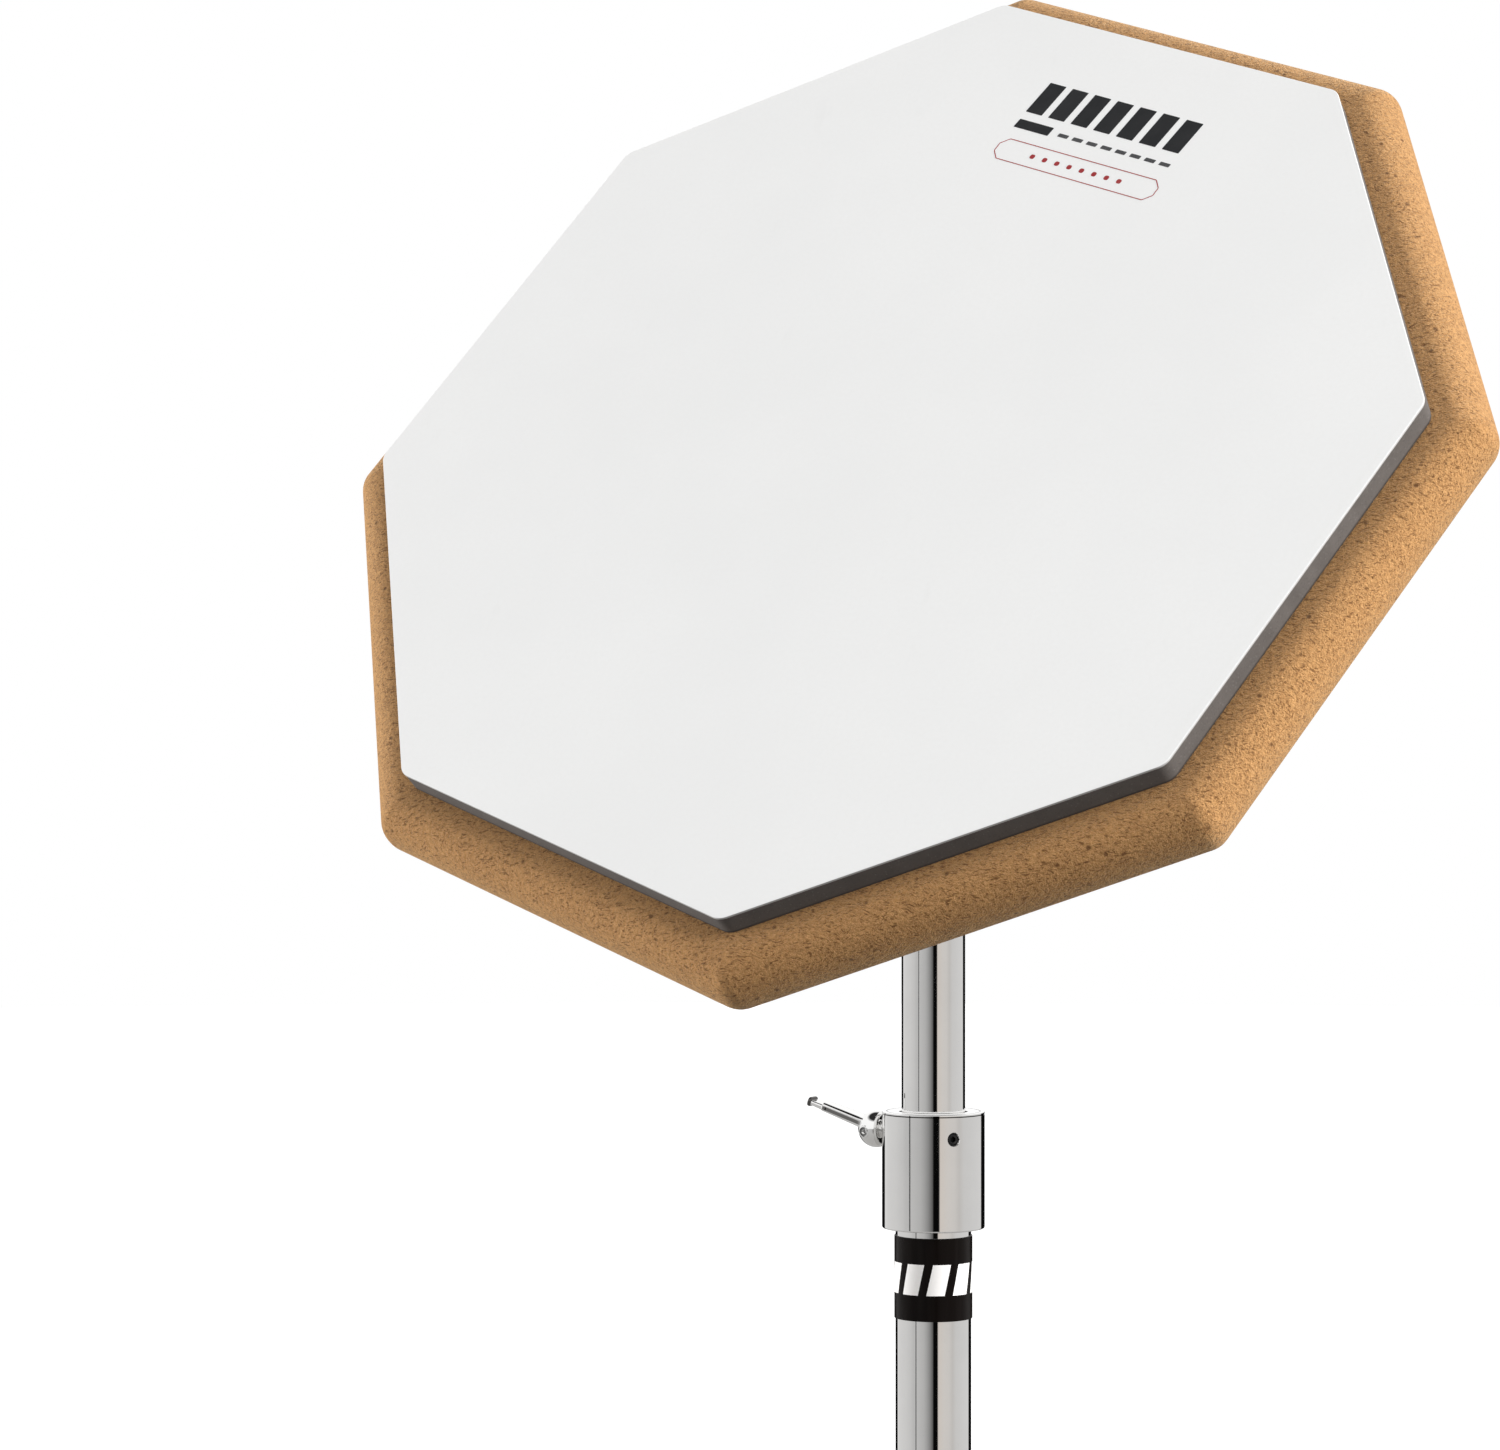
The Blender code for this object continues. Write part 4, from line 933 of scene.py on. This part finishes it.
def build_post():
    for node, slot_name in (("upper_tube", "chrome"), ("lower_tube", "chrome")):
        low, high = extent(node, POST)
        tube = lathe(node, ring(low[2], high[2], high[0] - 1.2 * MM, high[0], 0.35 * MM), 160)
        if node == "upper_tube":
            pin = at(0, 0, PIVOT.z - 33 * MM) @ UP_X
            tube = combine(tube, [rod("pin_hole", 1.8 * MM, -20 * MM, 20 * MM, pin, 32)])
        stand_for(node, tube, POST, slot_name)

    low, high = extent("height_collar", POST)
    base, top, radius = low[2], high[2], high[1]
    bore, mouth = 10.4 * MM, 9.2 * MM
    outline = filleted(
        [
            (bore, base, 0.3 * MM),
            (radius, base, 0.45 * MM),
            (radius, top - 0.78 * MM, 0),
            (radius - 0.12 * MM, top - 0.72 * MM, 0),
            (radius - 0.12 * MM, top - 0.56 * MM, 0),
            (radius, top - 0.5 * MM, 0),
            (radius, top, 0.45 * MM),
            (12.7 * MM, top, 0),
            (12.62 * MM, top - 0.1 * MM, 0),
            (12.38 * MM, top - 0.1 * MM, 0),
            (12.3 * MM, top, 0),
            (mouth, top, 0.3 * MM),
            (mouth, top - 1.5 * MM, 0),
            (bore, top - 1.5 * MM, 0),
        ],
        8,
    )
    collar = lathe("collar", outline, 192)
    clamp = JOINTS["height_screw_turn"]["pos_m"]
    clamp_place = at(0, 0, clamp[2]) @ turned_by(180, "Z") @ UP_X
    low, high = extent("collar_grub_screw", POST)
    grub = (low + high) / 2
    grub_place = at(0, 0, grub[2]) @ turned_by(math.degrees(math.atan2(grub[1], grub[0])), "Z") @ UP_X
    sink = lathe("sink", [(0, 13.2 * MM), (1.5 * MM, 13.2 * MM), (2.3 * MM, 14.2 * MM), (0, 14.2 * MM)], 48)
    tools = [
        rod("clamp_hole", 2.8 * MM, 4 * MM, 30 * MM, clamp_place, 48),
        rod("grub_hole", 1.5 * MM, 4 * MM, 30 * MM, grub_place, 48),
        transformed(sink, grub_place),
    ]
    collar = combine(collar, tools)
    stand_for("height_collar", collar, POST, "chrome", finish=COLLAR_CHROME_PAINTED, sharp=40)

    inner, outer = 10.9 * MM, 13.1 * MM
    sides = [(0, inner, 0), (1.45 * MM, inner, 0.2 * MM), (1.45 * MM, outer, 0.25 * MM), (0, outer, 0)]
    screw = lathe("grub", filleted(sides), 48)
    key = slab("key", hexagon(1.5 * MM), inner + 0.8 * MM, outer + 1 * MM, 0.01 * MM, steps=1)
    screw = combine(screw, [key])
    screw.transform(grub_place)
    stand_for("collar_grub_screw", screw, POST, "black_oxide")

    low, high = extent("guide_bush", POST)
    bush = lathe("bush", ring(low[2], high[2], 8.8 * MM, high[0], 0.3 * MM), 96)
    bush = combine(bush, [rod("clamp_hole", 2.8 * MM, 4 * MM, 30 * MM, clamp_place, 48)])
    stand_for("guide_bush", bush, POST, "black_nylon")

    low, high = extent("tube_glide", POST)
    base, top, radius = low[2], high[2], high[0]
    outline = filleted(
        [
            (5 * MM, base, 0.5 * MM),
            (radius, base, 0.8 * MM),
            (radius, base + 4 * MM, 0.2 * MM),
            (7 * MM, base + 4 * MM, 0),
            (7 * MM, top, 0.4 * MM),
            (5 * MM, top, 0.3 * MM),
        ]
    )
    stand_for("tube_glide", lathe("glide", outline, 96), POST, "black_nylon")

    low, high = extent("tube_end_plug", POST)
    base, top, radius = low[2], high[2], high[0]
    inner = 8.6 * MM
    outline = filleted(
        [
            (0, base, 0),
            (radius, base, 1.3 * MM),
            (radius, base + 2.7 * MM, 0.3 * MM),
            (inner, base + 2.7 * MM, 0),
            (inner, top, 0.8 * MM),
            (0, top, 0),
        ]
    )
    stand_for("tube_end_plug", lathe("plug", outline, 96), POST, "black_nylon")


def build_band():
    low, high = extent("label_band", POST)
    base, top, radius = low[2], high[2], 10.42 * MM
    inside = 10.13 * MM
    band = lathe("band", ring(base, top, inside, radius, 0.08 * MM), 160)
    stand_for("label_band", band, POST, "black_label")
    middle, tall = (base + top) / 2, 4.1 * MM
    bars = []
    for k in range(9):
        bars.append(wrapped_bar(radius + 0.005 * MM, 40 * k + 6, 27, middle - tall, middle + tall, 10))
    piece("band_bars", merged("bars", bars), POST, "post", "black_label", finish=WHITE_INK, weighted=False)


def wrapped_bar(radius, start, width, low, high, lean):
    """A thin leaning bar wrapped round the band, with width and lean in degrees."""
    columns, rows, thick = 12, 2, 0.03 * MM
    verts, faces = [], []
    for r in (radius, radius + thick):
        for i in range(rows + 1):
            t = i / rows
            for k in range(columns + 1):
                a = math.radians(start + width * k / columns + lean * t)
                verts.append((r * math.cos(a), r * math.sin(a), low + (high - low) * t))
    wide = columns + 1
    layer = wide * (rows + 1)
    for i in range(rows):
        for k in range(columns):
            a = i * wide + k
            faces.append((a, a + wide, a + wide + 1, a + 1))
            faces.append((layer + a, layer + a + 1, layer + a + wide + 1, layer + a + wide))
    rim = [k for k in range(wide)] + [i * wide + columns for i in range(1, rows + 1)]
    rim += [rows * wide + k for k in range(columns - 1, -1, -1)] + [i * wide for i in range(rows - 1, 0, -1)]
    for a, b in zip(rim, rim[1:] + rim[:1]):
        faces.append((a, b, b + layer, a + layer))
    return closed_mesh("bar", verts, faces)


LEVER_TAPER = 4.0 / 2.4


def tapered(mesh, widening, reach):
    """The mesh widened across X, by a factor that falls evenly to 1 at a height of Z = reach."""
    made = mesh.copy()
    for vertex in made.vertices:
        vertex.co.x *= 1 + (widening - 1) * (1 - vertex.co.z / reach)
    return made


def build_thumb_screw(node, place):
    """A thumb screw: a domed hub, a round cross heel and one long stepped lever with a flat lip."""
    low, high = extent(node, place)
    tip = low[2]
    outline = [(0, -1.9 * MM), (3.9 * MM, -1.9 * MM)]
    for k in range(24):
        angle = math.radians(-17 + 107 * k / 23)
        outline.append((4.98 * MM * math.cos(angle), 4.98 * MM * math.sin(angle)))
    outline[-1] = (0, 4.98 * MM)
    hub = lathe("hub", outline, 96)
    lean = at(0, 0.7 * MM, 0) @ turned_by(-LEVER_LEAN, "X")
    # The lever's side view is drawn as (along, up) and stood across the frame's X.
    stand = turned_by(-90, "Y")
    reach = 20.8 * MM
    thick = [(1, -1.4, 0), (16.2, -1.05, 0.2), (16, 1.2, 0.2), (1, 1.4, 0)]
    thin = [(14, -1.05, 0), (20.5, -0.8, 0.2), (20.5, 0.45, 0.2), (14, 0.6, 0)]
    thick = filleted([(x * MM, y * MM, r * MM) for x, y, r in thick])
    thin = filleted([(x * MM, y * MM, r * MM) for x, y, r in thin])
    blade = transformed(slab("blade", thick, -2.35 * MM, 2.35 * MM, 0.5 * MM), stand)
    end = transformed(slab("end", thin, -2 * MM, 2 * MM, 0.4 * MM), stand)
    corners = [(-2.4, -1.4), (2.4, -1.4), (2.4, 1.2), (-2.4, 1.2)]
    lip = filleted([(x * MM, y * MM, 1.1 * MM) for x, y in corners])
    lip = slab("lip", lip, reach - 0.8 * MM, reach, 0.25 * MM)
    lever = transformed(tapered(merged("lever", [blade, end, lip]), LEVER_TAPER, reach), lean)
    across = at(0, -0.5 * MM, 1.4 * MM) @ UP_X
    heel = rod("heel", 1.55 * MM, -5 * MM, 5 * MM, across, 64)
    body = cast(merged("body", [hub, lever, heel]), 0.15 * MM, 3)
    tools = []
    for side in (-1, 1):
        ends = sorted((side * 4.5 * MM, side * 6 * MM))
        tools.append(rod("dimple", 0.6 * MM, *ends, across, 32))
        edges = sorted((side * 2 * MM, side * 3 * MM))
        groove = box("groove", (edges[0], -0.55 * MM, 5.5 * MM), (edges[1], 0.35 * MM, 15 * MM))
        tools.append(transformed(tapered(groove, LEVER_TAPER, reach), lean))
    body = combine(body, tools)
    outline = [(0, tip), (1.6 * MM, tip), (1.8 * MM, tip + 0.8 * MM)]
    outline += thread_points(2.5 * MM, tip + 1 * MM, -1.4 * MM, 0.8 * MM)
    outline += [(2.5 * MM, 1 * MM), (0, 1 * MM)]
    shank = lathe("shank", outline, 48, thread(2.5 * MM, tip + 1 * MM, -1.4 * MM, 0.8 * MM, 0.4 * MM))
    screw = combine(body, [shank], "UNION")
    stand_for(node, screw, place, "chrome", finish=LEVER_CHROME_PAINTED, weighted=False)


# ---------------------------------------------------------------- the tripod


LEG_ANGLES = []
for number in (1, 2, 3):
    pin = Vector(JOINTS[f"leg_{number}_swing"]["pos_m"]) - Vector((PIVOT.x, PIVOT.y, 0))
    LEG_ANGLES.append(math.degrees(math.atan2(pin.y, pin.x)))
HUB_Z = JOINTS["leg_1_swing"]["pos_m"][2]
BASE_Z = JOINTS["brace_1_swing"]["pos_m"][2]
PIN_CIRCLE = 20 * MM
PIN_BORE = 2.2 * MM
BRACE_SIDE = 6.85 * MM
BRACE_THICK = 2.5 * MM


def around(matrix):
    return [turned_by(angle, "Z") @ matrix for angle in LEG_ANGLES]


def on_pins(side=0.0):
    """A plate in XY stood upright across each pin, reaching inwards."""
    return around(at(PIN_CIRCLE, side, 0) @ turned_by(90, "X") @ turned_by(180, "Z"))


def build_leg_hub(clamp_height):
    place = POST @ at(0, 0, HUB_Z)
    low, high = extent("leg_hub", place)
    barrel = rod("barrel", 13.2 * MM, low[2], high[2], steps=96)
    ear = slab("ear", slot(9.5 * MM, 7.05 * MM, 7.1 * MM), -6.3 * MM, 6.3 * MM, 0.4 * MM)
    ears = [transformed(ear, m) for m in on_pins()]
    boss = rod("boss", 5.2 * MM, 5 * MM, 16.6 * MM, at(0, 0, clamp_height) @ turned_by(90, "Z") @ UP_X, 64)
    hub = cast(merged("hub", [barrel, *ears, boss]), 0.42 * MM, 6)
    gap = box("gap", (PIN_CIRCLE - 7.4 * MM, -3.3 * MM, -12 * MM), (PIN_CIRCLE + 12 * MM, 3.3 * MM, 12 * MM))
    drill = rod("drill", PIN_BORE, -12 * MM, 12 * MM, steps=40)
    tools = [
        merged("gaps", [transformed(gap, m) for m in around(Matrix())]),
        merged("drills", [transformed(drill, m) for m in on_pins()]),
        rod("clamp_hole", 2.8 * MM, 4 * MM, 30 * MM, at(0, 0, clamp_height) @ turned_by(90, "Z") @ UP_X, 48),
        rod("bore", 10.4 * MM, -20 * MM, 30 * MM, steps=128),
    ]
    stand_for("leg_hub", combine(hub, tools), place, "plated_casting", weighted=False)


def build_base_hub():
    place = POST @ at(0, 0, BASE_Z)
    low, high = extent("base_hub", place)
    side = BRACE_SIDE + BRACE_THICK + 1.8 * MM
    barrel = rod("barrel", 12.8 * MM, low[2], high[2], steps=96)
    ear = slab("ear", slot(13 * MM, 6.55 * MM, 6.6 * MM), -1.5 * MM, 1.5 * MM, 0.3 * MM)
    hub = cast(merged("hub", [barrel, *[transformed(ear, m) for m in on_pins(side)]]), 0.4 * MM, 4)
    drill = rod("drill", PIN_BORE, -3 * MM, 3 * MM, steps=40)
    tools = [
        merged("drills", [transformed(drill, m) for m in on_pins(side)]),
        rod("bore", 10.4 * MM, -20 * MM, 20 * MM, steps=128),
    ]
    stand_for("base_hub", combine(hub, tools), place, "plated_casting", weighted=False)


def domed_pin(node, place, low_head, high_head):
    """A rivet along the frame's Z between the CAD rivet's ends, with a domed head at each end asked for."""
    low, high = extent(node, place)
    shank, head = PIN_BORE - 0.3 * MM, PIN_BORE + 1.6 * MM
    base, top = low[2], high[2]
    outline = [(0, base)]
    if low_head:
        outline += dome(base, base + low_head, head)
    else:
        outline += [(shank - 0.3 * MM, base)]
    outline += [(shank, base + (low_head or 0.3 * MM)), (shank, top - (high_head or 0.3 * MM))]
    if high_head:
        outline += dome(top, top - high_head, head)[::-1]
    else:
        outline += [(shank - 0.3 * MM, top)]
    outline.append((0, top))
    stand_for(node, lathe("rivet", outline, 64), place, "zinc_steel")


def dome(tip, seat, radius):
    """The side of a domed rivet head, from near its tip to its seat."""
    rise = tip - seat
    made = []
    for angle in range(15, 91, 15):
        a = math.radians(angle)
        made.append((radius * math.sin(a), seat + rise * (0.18 + 0.82 * math.cos(a))))
    return [*made, (radius, seat)]


def leg_mesh(low):
    """A round tube pressed flat into a tongue at the top, open at its lower end."""
    sections = []
    for k in range(9):
        a = math.radians(88 - 88 * k / 8)
        sections.append((6.2 * MM * math.sin(a), 6.2 * MM * math.cos(a), 3 * MM, 7.0))
    for k in range(1, 13):
        t = k / 12
        s = t * t * (3 - 2 * t)
        z = -6.8 * MM - 11.2 * MM * t
        sections.append((z, 6.2 * MM + 0.15 * MM * s, 3 * MM + 3.35 * MM * s, 7.0 - 5.0 * s))
    for z in (-18.6 * MM, low + 1 * MM, low + 0.15 * MM):
        sections.append((z, 6.35 * MM, 6.35 * MM, 2.0))
    sections.append((low, 6.2 * MM, 6.2 * MM, 2.0))
    for z in (low, low + 0.5 * MM, -32 * MM):
        sections.append((z, 5.15 * MM, 5.15 * MM, 2.0))
    sections.append((-30 * MM, 3.2 * MM, 3.2 * MM, 2.0))
    steps = 96
    verts, faces = [], []
    for z, wide, thick, power in sections:
        for k in range(steps):
            a = 2 * math.pi * k / steps
            c, s = math.cos(a), math.sin(a)
            x = wide * math.copysign(abs(c) ** (2 / power), c)
            y = thick * math.copysign(abs(s) ** (2 / power), s)
            verts.append((x, y, z))
    for i in range(len(sections) - 1):
        for k in range(steps):
            a, b = i * steps + k, i * steps + (k + 1) % steps
            faces.append((a, a + steps, b + steps, b))
    faces.append(tuple(range(steps)))
    faces.append(tuple(reversed(range(len(verts) - steps, len(verts)))))
    return closed_mesh("leg", verts, faces)


def foot_mesh(length, floor):
    """A moulded rubber foot round the leg's end: a ribbed cuff, a round tip and a flat sole."""
    bore, cuff = 6.4 * MM, -length + 24 * MM
    outline = [(0, -length + 3.7 * MM), (bore, -length + 3.7 * MM), (bore, cuff - 0.3 * MM), (6.7 * MM, cuff)]
    outline += [(7.8 * MM, cuff), (8.3 * MM, cuff - 0.5 * MM)]
    z = cuff - 2.2 * MM
    rib = ((8.35, 0.9), (7.75, 0.45), (7.75, -0.45), (8.45, -0.9))
    while z > -length + 8 * MM:
        outline += [(radius * MM, z + rise * MM) for radius, rise in rib]
        z -= 2.9 * MM
    outline += arc(0, -length, 9.45 * MM, 25, -90, 22)[:-1]
    outline.append((0, -length - 9.45 * MM))
    foot = lathe("foot", outline, 96)
    slab_cut = box("sole", (-0.1, -0.1, -0.05), (0.1, 0.1, 0), floor)
    return combine(foot, [slab_cut])


def build_leg(number):
    joint = JOINTS[f"leg_{number}_swing"]
    angle = LEG_ANGLES[number - 1]
    # The hinge axis is the frame's -Y; the leg runs down its -Z, spread 58 degrees at rest.
    spread = joint["range_deg"][1]
    hub_side = Matrix.Translation(joint["pos_m"]) @ turned_by(angle, "Z")
    place = hub_side @ turned_by(-spread, "Y")
    leg = leg_mesh(-0.336)
    leg = combine(leg, [rod("drill", PIN_BORE, -12 * MM, 12 * MM, turned_by(90, "X"), 40)])
    stand_for(f"leg_{number}", leg, place, "chrome", sharp=45)
    sole = Matrix.Translation(place @ Vector((0, 0, -0.34)))
    sole.translation.z = 0
    stand_for(f"foot_{number}", foot_mesh(0.34, place.inverted() @ sole), place, "black_rubber")
    domed_pin(f"leg_pin_{number}", place @ UP_Y, 1.4 * MM, 1.4 * MM)


def build_brace(number):
    joint = JOINTS[f"brace_{number}_swing"]
    spread = joint["range_deg"][1]
    side = Matrix.Translation(joint["pos_m"]) @ turned_by(LEG_ANGLES[number - 1], "Z")
    place = side @ turned_by(spread, "Y")
    plate = slab("brace", slot(0.125, 5.5 * MM, 5.45 * MM, 32), -BRACE_THICK / 2, BRACE_THICK / 2, 0.45 * MM)
    outline = slot(0.085, 1.6 * MM, 1.55 * MM, 16)
    groove = slab("groove", outline, BRACE_THICK / 2 - 0.4 * MM, BRACE_THICK, 0.01 * MM, 0.35 * MM)
    grooves = [transformed(groove, at(0.02, 0, 0) @ turned_by(turn, "X")) for turn in (0, 180)]
    drill = rod("drill", PIN_BORE, -5 * MM, 5 * MM, steps=48)
    holes = merged("holes", [drill, transformed(drill, at(0.125, 0, 0))])
    plate = combine(plate, [*grooves, holes])
    plate.transform(at(0, BRACE_SIDE + BRACE_THICK / 2, 0) @ turned_by(-90, "Y") @ turned_by(90, "X"))
    stand_for(f"brace_{number}", plate, place, "chrome")
    domed_pin(f"link_rivet_{number}", place @ at(0, 0, 0.125) @ UP_Y, 0, 1.6 * MM)
    domed_pin(f"brace_pin_{number}", place @ UP_Y, 0, 1.4 * MM)


# ---------------------------------------------------------------- light, floor and camera


def build_world():
    """White behind the object, soft light from above, and a studio of upright panels in reflections."""
    world = bpy.data.worlds.new("studio")
    bpy.context.scene.world = world
    world.use_nodes = True
    tree = world.node_tree
    tree.nodes.clear()

    def add(kind, **settings):
        node = tree.nodes.new(kind)
        for key, value in settings.items():
            setattr(node, key, value)
        return node

    def calc(operation, *values):
        node = add("ShaderNodeMath", operation=operation)
        for socket, value in zip(node.inputs, values):
            if isinstance(value, bpy.types.NodeSocket):
                tree.links.new(value, socket)
            else:
                socket.default_value = value
        return node.outputs["Value"]

    def ramp(factor, stops):
        node = add("ShaderNodeValToRGB")
        tree.links.new(factor, node.inputs["Fac"])
        elements = node.color_ramp.elements
        while len(elements) > 1:
            elements.remove(elements[-1])
        elements[0].position, elements[0].color = stops[0][0], (*stops[0][1], 1)
        for position, colour in stops[1:]:
            elements.new(position).color = (*colour, 1)
        return node.outputs["Color"]

    def background(colour, strength):
        node = add("ShaderNodeBackground")
        if isinstance(colour, bpy.types.NodeSocket):
            tree.links.new(colour, node.inputs["Color"])
        else:
            node.inputs["Color"].default_value = colour
        node.inputs["Strength"].default_value = strength
        return node.outputs["Background"]

    def choose(factor, a, b):
        node = add("ShaderNodeMixShader")
        tree.links.new(factor, node.inputs["Fac"])
        tree.links.new(a, node.inputs[1])
        tree.links.new(b, node.inputs[2])
        return node.outputs["Shader"]

    direction = add("ShaderNodeSeparateXYZ")
    tree.links.new(add("ShaderNodeTexCoord").outputs["Generated"], direction.inputs["Vector"])
    x, y, z = direction.outputs
    # Degrees round the post, counted from the direction of the camera, positive to its right.
    heading = calc("MULTIPLY", calc("ARCTAN2", y, x), 180 / math.pi)
    heading = calc("ADD", heading, 90 - CAMERA_AZIMUTH)
    heading = calc("WRAP", heading, 180.0, -180.0)
    stops = []
    for angle, level, warm in PANELS:
        stops.append(((angle + 180) / 360, (level, level * warm, level * warm * warm)))
    panels = ramp(calc("DIVIDE", calc("ADD", heading, 180.0), 360.0), stops)
    height = calc("DIVIDE", calc("ADD", z, 1.0), 2.0)
    level = [(0.0, (1, 1, 1)), (0.25, (1, 1, 1)), (0.38, (0, 0, 0)), (0.505, (0, 0, 0)), (0.53, (1, 1, 1))]
    overhead = ramp(height, level)
    sky = ramp(height, SKY)
    mixed = add("ShaderNodeMix", data_type="RGBA")
    tree.links.new(overhead, mixed.inputs["Factor"])
    tree.links.new(panels, mixed.inputs["A"])
    tree.links.new(sky, mixed.inputs["B"])
    fill = ramp(height, FILL)
    path = add("ShaderNodeLightPath")
    seen = background((1, 1, 1, 1), 1.0)
    mirrored = background(mixed.outputs["Result"], 1.0)
    soft = background(fill, 1.0)
    lit = choose(path.outputs["Is Glossy Ray"], soft, mirrored)
    out = add("ShaderNodeOutputWorld")
    tree.links.new(choose(path.outputs["Is Camera Ray"], lit, seen), out.inputs["Surface"])


def build_lights():
    """One large soft light from the upper right, and a low one that rims the board from the left."""
    for name, offset, size, energy, colour in LAMPS:
        lamp = bpy.data.lights.new(name, "AREA")
        lamp.shape = "DISK"
        lamp.size = size
        lamp.energy = energy
        lamp.color = colour
        obj = bpy.data.objects.new(name, lamp)
        bpy.context.scene.collection.objects.link(obj)
        a = math.radians(CAMERA_AZIMUTH)
        right = Vector((math.cos(a), math.sin(a), 0))
        back = Vector((math.sin(a), -math.cos(a), 0))
        target = Vector((0, 0.04, 0.72))
        obj.location = target + right * offset[0] + back * offset[1] + Vector((0, 0, offset[2]))
        obj.rotation_euler = (target - obj.location).to_track_quat("-Z", "Y").to_euler()
        obj.visible_glossy = False


def build_floor():
    """A wide plain floor, which the mirrors and the soft light don't see."""
    mesh = lathe("floor", [(0, -0.02), (9, -0.02), (9, -0.0002), (0, -0.0002)], 96)
    paint = bpy.data.materials.new("floor")
    paint.use_nodes = True
    tree = paint.node_tree
    tree.nodes.clear()
    diffuse = tree.nodes.new("ShaderNodeBsdfDiffuse")
    diffuse.inputs["Color"].default_value = (0.9, 0.9, 0.9, 1)
    glow = tree.nodes.new("ShaderNodeEmission")
    glow.inputs["Strength"].default_value = FLOOR_GLOW
    both = tree.nodes.new("ShaderNodeAddShader")
    out = tree.nodes.new("ShaderNodeOutputMaterial")
    tree.links.new(diffuse.outputs["BSDF"], both.inputs[0])
    tree.links.new(glow.outputs["Emission"], both.inputs[1])
    tree.links.new(both.outputs["Shader"], out.inputs["Surface"])
    mesh.materials.append(paint)
    floor = bpy.data.objects.new("floor", mesh)
    bpy.context.scene.collection.objects.link(floor)
    floor.visible_glossy = False
    floor.visible_diffuse = False


def build_camera():
    camera = bpy.data.cameras.new("camera")
    camera.sensor_width = 36
    camera.lens = CAMERA_LENS
    camera.clip_end = 50
    obj = bpy.data.objects.new("camera", camera)
    bpy.context.scene.collection.objects.link(obj)
    face = next(m for m in RECORD["mounts"] if m["name"] == "striking_surface")
    obj.location = Vector(face["pos_m"]) + Vector(CAMERA_OFFSET)
    obj.rotation_euler = (math.pi / 2, 0, math.radians(CAMERA_AZIMUTH))
    bpy.context.scene.camera = obj


# The camera looks level, in this direction, from this far off the middle of the playing face.
CAMERA_AZIMUTH = 28.744
CAMERA_OFFSET = (0.5129259, -1.0005278, -0.0764373)
CAMERA_LENS = 103.87
FLOOR_GLOW = 0.45
# What the chrome mirrors: (degrees from the camera's direction, brightness, warmth), in order. Apart from
# its dark gaps, it follows the brightness measured across the photograph's tubes, at 1.05 to 1.35 times.
PANELS = [
    (-180, 0.004, 1.0),
    (-144, 0.004, 1.0),
    (-142, 0.86, 0.995),
    (-128, 0.77, 0.995),
    (-95, 0.73, 0.995),
    (-76, 0.67, 0.995),
    (-66, 0.6, 0.995),
    (-58.6, 0.59, 0.995),
    (-57.6, 0.03, 1.0),
    (-55.8, 0.03, 1.0),
    (-54.8, 0.62, 0.995),
    (-45, 0.59, 0.995),
    (-31.6, 0.535, 0.995),
    (-22.3, 0.43, 0.995),
    (-13, 0.295, 0.995),
    (-8.4, 0.2, 0.99),
    (-4, 0.12, 0.98),
    (-2.4, 0.003, 0.97),
    (10.6, 0.003, 0.97),
    (12.2, 0.74, 0.92),
    (20, 0.74, 0.935),
    (30, 0.74, 0.955),
    (46, 0.72, 0.965),
    (58, 0.64, 0.97),
    (70, 0.7, 0.99),
    (100, 0.74, 0.995),
    (132, 0.77, 0.995),
    (134, 0.004, 1.0),
    (180, 0.004, 1.0),
]
# What the chrome mirrors from straight down to straight up: a pale floor and room, a dark ceiling.
SKY = [
    (0.0, (0.5, 0.49, 0.48)),
    (0.45, (0.6, 0.6, 0.59)),
    (0.51, (1.15, 1.15, 1.15)),
    (0.85, (1.2, 1.2, 1.2)),
    (0.92, (0.03, 0.03, 0.03)),
    (1.0, (0.03, 0.03, 0.03)),
]
# The soft light's brightness from straight down to straight up.
FILL = [
    (0.0, (0.03, 0.029, 0.028)),
    (0.5, (0.33, 0.33, 0.33)),
    (1.0, (1.09, 1.09, 1.09)),
]
# (name, offset to the camera's right, back and up, size, watts, colour)
LAMPS = [
    ("key", (1.65, 0.75, 0.46), 1.1, 60, (1, 0.99, 0.97)),
    ("side", (-1.5, -0.5, -0.35), 1.0, 41, (1, 0.99, 0.97)),
]

board_base, board_top = build_board()
film_top = build_playing_face(board_top)
build_print(film_top)
build_flange(board_base)
build_tilt_head()
build_yoke()
build_wing_nut()
build_post()
build_band()
height_clamp = JOINTS["height_screw_turn"]["pos_m"]
hub_clamp = JOINTS["hub_screw_turn"]["pos_m"]
build_thumb_screw("height_thumb_screw", look_along(height_clamp, (-1, 0, 0), (0, -1, 0)))
build_thumb_screw("hub_thumb_screw", look_along(hub_clamp, (0, 1, 0), (-1, 0, 0)))
build_leg_hub(hub_clamp[2] - HUB_Z)
build_base_hub()
for number in (1, 2, 3):
    build_leg(number)
    build_brace(number)
build_world()
build_lights()
build_floor()
build_camera()
bpy.context.scene.view_settings.view_transform = "Standard"
